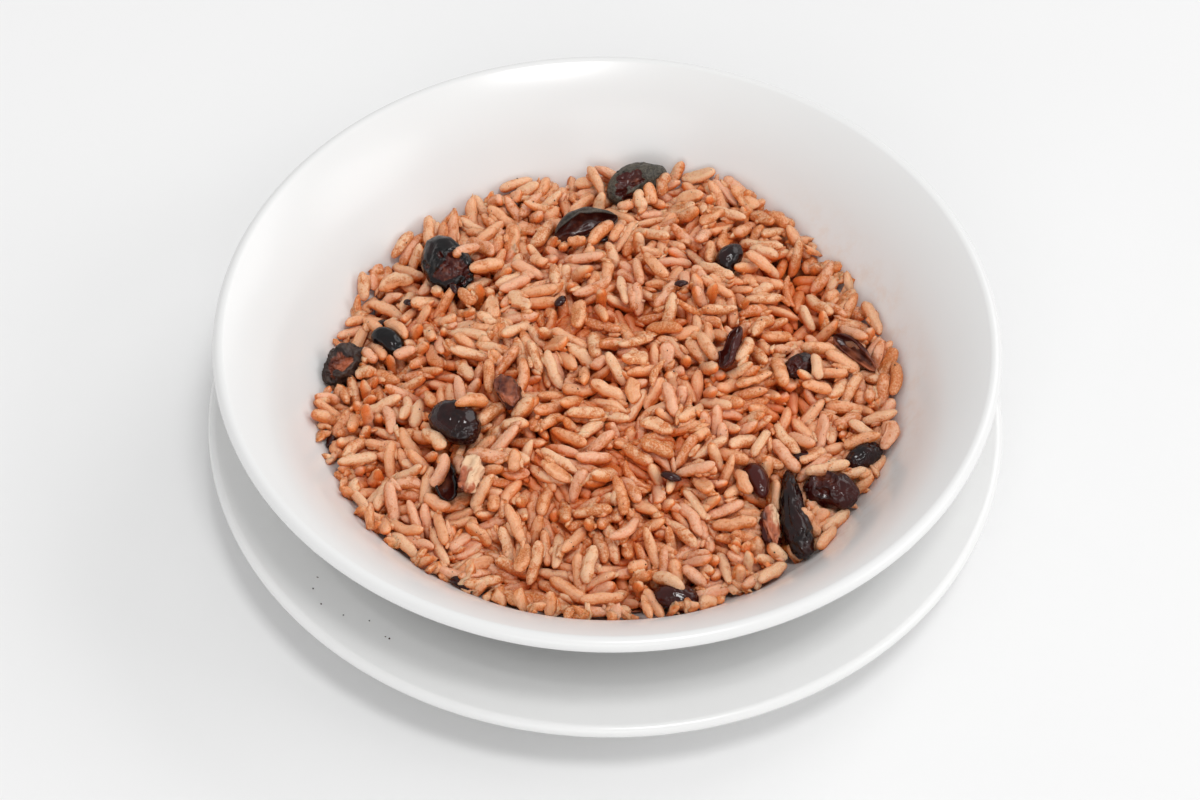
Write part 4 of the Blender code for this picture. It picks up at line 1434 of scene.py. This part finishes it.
class SERVING_OT_crumbs(bpy.types.Operator):
    """Scatter scraps and flakes of skin and crumbs of flesh on the rice, and a few on the underplate"""

    bl_idname = "serving.crumbs"
    bl_label = "Scraps and Crumbs"
    bl_options = {"REGISTER", "UNDO"}

    def execute(self, context):
        rice = context.scene.serving_rice
        material = skin_finish(context.scene.serving_beans, rice)
        heap = loose_grains(rice.grains, rice.depth, rice.rounds)
        rng = np.random.default_rng(73)
        self.add_scraps(material)
        x, y, z = heap.centre.T
        top = np.flatnonzero(surface_height(x, y) - z < CRUMB_DEPTH)
        for name, count, least, most, flesh in CRUMBS:
            centre = self.on_grains(heap, rng.choice(top, count), rng)
            self.add_crumbs(name, centre, rng.uniform(least, most, (count, 3)), material, flesh, rng)
        angle = np.radians(rng.uniform(*PLATE_ANGLES, PLATE_CRUMBS))
        radius = rng.uniform(*PLATE_RADII, PLATE_CRUMBS) * MM
        height = np.interp(radius, *upper_face(UNDERPLATE)[0].T)
        centre = np.stack([*polar(radius, angle), height], axis=1)
        self.add_crumbs("plate_crumbs", centre, rng.uniform(0.10, 0.30, centre.shape), material, 0.0, rng)
        return {"FINISHED"}

    @staticmethod
    def add_scraps(material):
        """Small torn pieces of skin, each a curled sheet pressed into the rice."""
        forms, inside = [], []
        for number, (x, y, length, width, heading) in enumerate(SCRAPS):
            size = (length, width, 0.8 * width)
            bean = Bean("", "skin", size, heading, 0, 150, 0.1, 0.1, 1, 0.5, 0.2, 1.0, 0.0)
            form, flesh = empty_form(bean, 5.1 * number + 0.5, rings=12, columns=10)
            height = float(surface_height(x * MM, y * MM)) + 0.2 * MM
            forms.append(laid(form, bean, (x * MM, y * MM, height)))
            inside.append(flesh)
        fields = bean_fields(np.concatenate(inside), 0.45, 0.15, 0.0)
        add_piece("skin_scraps", together(forms), material, (), fields)

    @staticmethod
    def add_crumbs(name, centre, size, material, flesh, rng):
        """Crumbs as small lumps, of dark skin or of pale flesh."""
        form = lump_form(centre, size * MM, seed=len(centre), jag=0.4, rings=3, sectors=6)
        red = spread(rng.uniform(0.2, 1.0, len(centre)), form)
        fields = bean_fields(flesh + 0 * red, red, 0.3, 0.6)
        add_piece(name, form, material, (), fields)

    @staticmethod
    def on_grains(heap, host, rng):
        """Places on the upper side of grains: along the axis and out by half the width, and from there to the
        nearest point of a grain's surface."""
        reach = rng.uniform(-0.40, 0.40, len(host)) * heap.length[host]
        side = unit(np.cross([0.0, 0.0, 1.0], heap.axis[host]))
        over = np.cross(heap.axis[host], side)
        swing = rng.uniform(-1.3, 1.3, len(host))[:, None]
        out = over * np.cos(swing) + side * np.sin(swing)
        places = heap.centre[host] + reach[:, None] * heap.axis[host] + out * (heap.width[host] / 2)[:, None]
        surface = np.concatenate([piece_points(kind.name) for kind in KINDS])
        return np.array([surface[np.argmin(np.sum((surface - place) ** 2, axis=1))] for place in places])


class SERVING_OT_stage(bpy.types.Operator):
    """Set up the pale floor, the soft lamps, the even sky and the camera"""

    bl_idname = "serving.stage"
    bl_label = "Stage"
    bl_options = {"REGISTER", "UNDO"}

    def execute(self, context):
        looks = context.scene.serving_stage
        self.add_floor(looks)
        self.add_lights(context.scene, looks)
        self.add_camera(context.scene, looks)
        context.scene.view_settings.view_transform = "Standard"
        return {"FINISHED"}

    @staticmethod
    def add_floor(looks):
        """A wide square sheet that lies just under the foot."""
        mesh = bpy.data.meshes.new("floor")
        x, y = np.meshgrid((-FLOOR_REACH, FLOOR_REACH), (-FLOOR_REACH, FLOOR_REACH))
        points = np.stack([x.ravel(), y.ravel(), np.full(4, -FLOOR_DROP)], axis=1)
        mesh.from_pydata(points.tolist(), [], [(0, 1, 3, 2)])
        mesh.materials.append(floor_finish(looks))
        floor = bpy.data.objects.new("floor", mesh)
        bpy.context.scene.collection.objects.link(floor)

    @staticmethod
    def add_lights(scene, looks):
        """Square lamps over the serving, on its right, behind on the right and in front, and a white sky."""
        for name, way, size, share in LAMPS:
            lamp = bpy.data.lights.new(name, "AREA")
            lamp.shape = "SQUARE"
            lamp.size = size
            lamp.energy = looks.lamp_power * share
            item = bpy.data.objects.new(name, lamp)
            way = Vector(way).normalized()
            item.location = way * LAMP_DISTANCE
            item.rotation_euler = way.to_track_quat("Z", "Y").to_euler()
            scene.collection.objects.link(item)
        world = bpy.data.worlds.new("studio")
        world.use_nodes = True
        shade = world.node_tree.nodes["Background"]
        shade.inputs["Color"].default_value = (1.0, 1.0, 1.0, 1.0)
        shade.inputs["Strength"].default_value = looks.sky
        scene.world = world

    @staticmethod
    def add_camera(scene, looks):
        """A camera in front of the bowl that looks down at a point a little in front of the rim's middle."""
        rim = Vector((0.0, 0.0, BOWL.lip_height))
        camera = bpy.data.cameras.new("camera")
        camera.lens = looks.lens
        camera.sensor_width = 36.0
        item = bpy.data.objects.new("camera", camera)
        rise = looks.elevation
        item.location = rim + looks.distance * Vector((0.0, -math.cos(rise), math.sin(rise)))
        aim = rim + Vector(AIM)
        look = (item.location - aim).to_track_quat("Z", "Y").to_matrix()
        item.rotation_euler = (look @ Matrix.Rotation(looks.roll, 3, "Z")).to_euler()
        scene.collection.objects.link(item)
        scene.camera = item


class SERVING_PT_panel(bpy.types.Panel):
    """Buttons and sizes for the serving"""

    bl_idname = "SERVING_PT_panel"
    bl_label = "Rice and Beans"
    bl_space_type = "VIEW_3D"
    bl_region_type = "UI"
    bl_category = "Serving"

    def draw(self, context):
        for operator in OPERATORS:
            self.layout.operator(operator.bl_idname)
        for name, group in GROUPS.items():
            box = self.layout.box()
            box.label(text=group.__doc__)
            for field in group.__annotations__:
                box.prop(getattr(context.scene, name), field)


GROUPS = {
    "serving_dishes": DishLooks,
    "serving_rice": RiceLooks,
    "serving_beans": BeanLooks,
    "serving_stage": StageLooks,
}
OPERATORS = (SERVING_OT_stage, SERVING_OT_dishes, SERVING_OT_rice, SERVING_OT_beans, SERVING_OT_crumbs)


def register():
    """Register every class and hang the groups on the scene."""
    for name, group in GROUPS.items():
        bpy.utils.register_class(group)
        setattr(bpy.types.Scene, name, bpy.props.PointerProperty(type=group))
    for item in (*OPERATORS, SERVING_PT_panel):
        bpy.utils.register_class(item)


def unregister():
    """Take everything off again, in the other order."""
    for item in reversed((*OPERATORS, SERVING_PT_panel)):
        bpy.utils.unregister_class(item)
    for name, group in reversed(list(GROUPS.items())):
        delattr(bpy.types.Scene, name)
        bpy.utils.unregister_class(group)


def main():
    """Build the serving."""
    register()
    bpy.ops.serving.stage()
    bpy.ops.serving.dishes()
    bpy.ops.serving.rice()
    bpy.ops.serving.beans()
    bpy.ops.serving.crumbs()


if __name__ == "__main__":
    main()
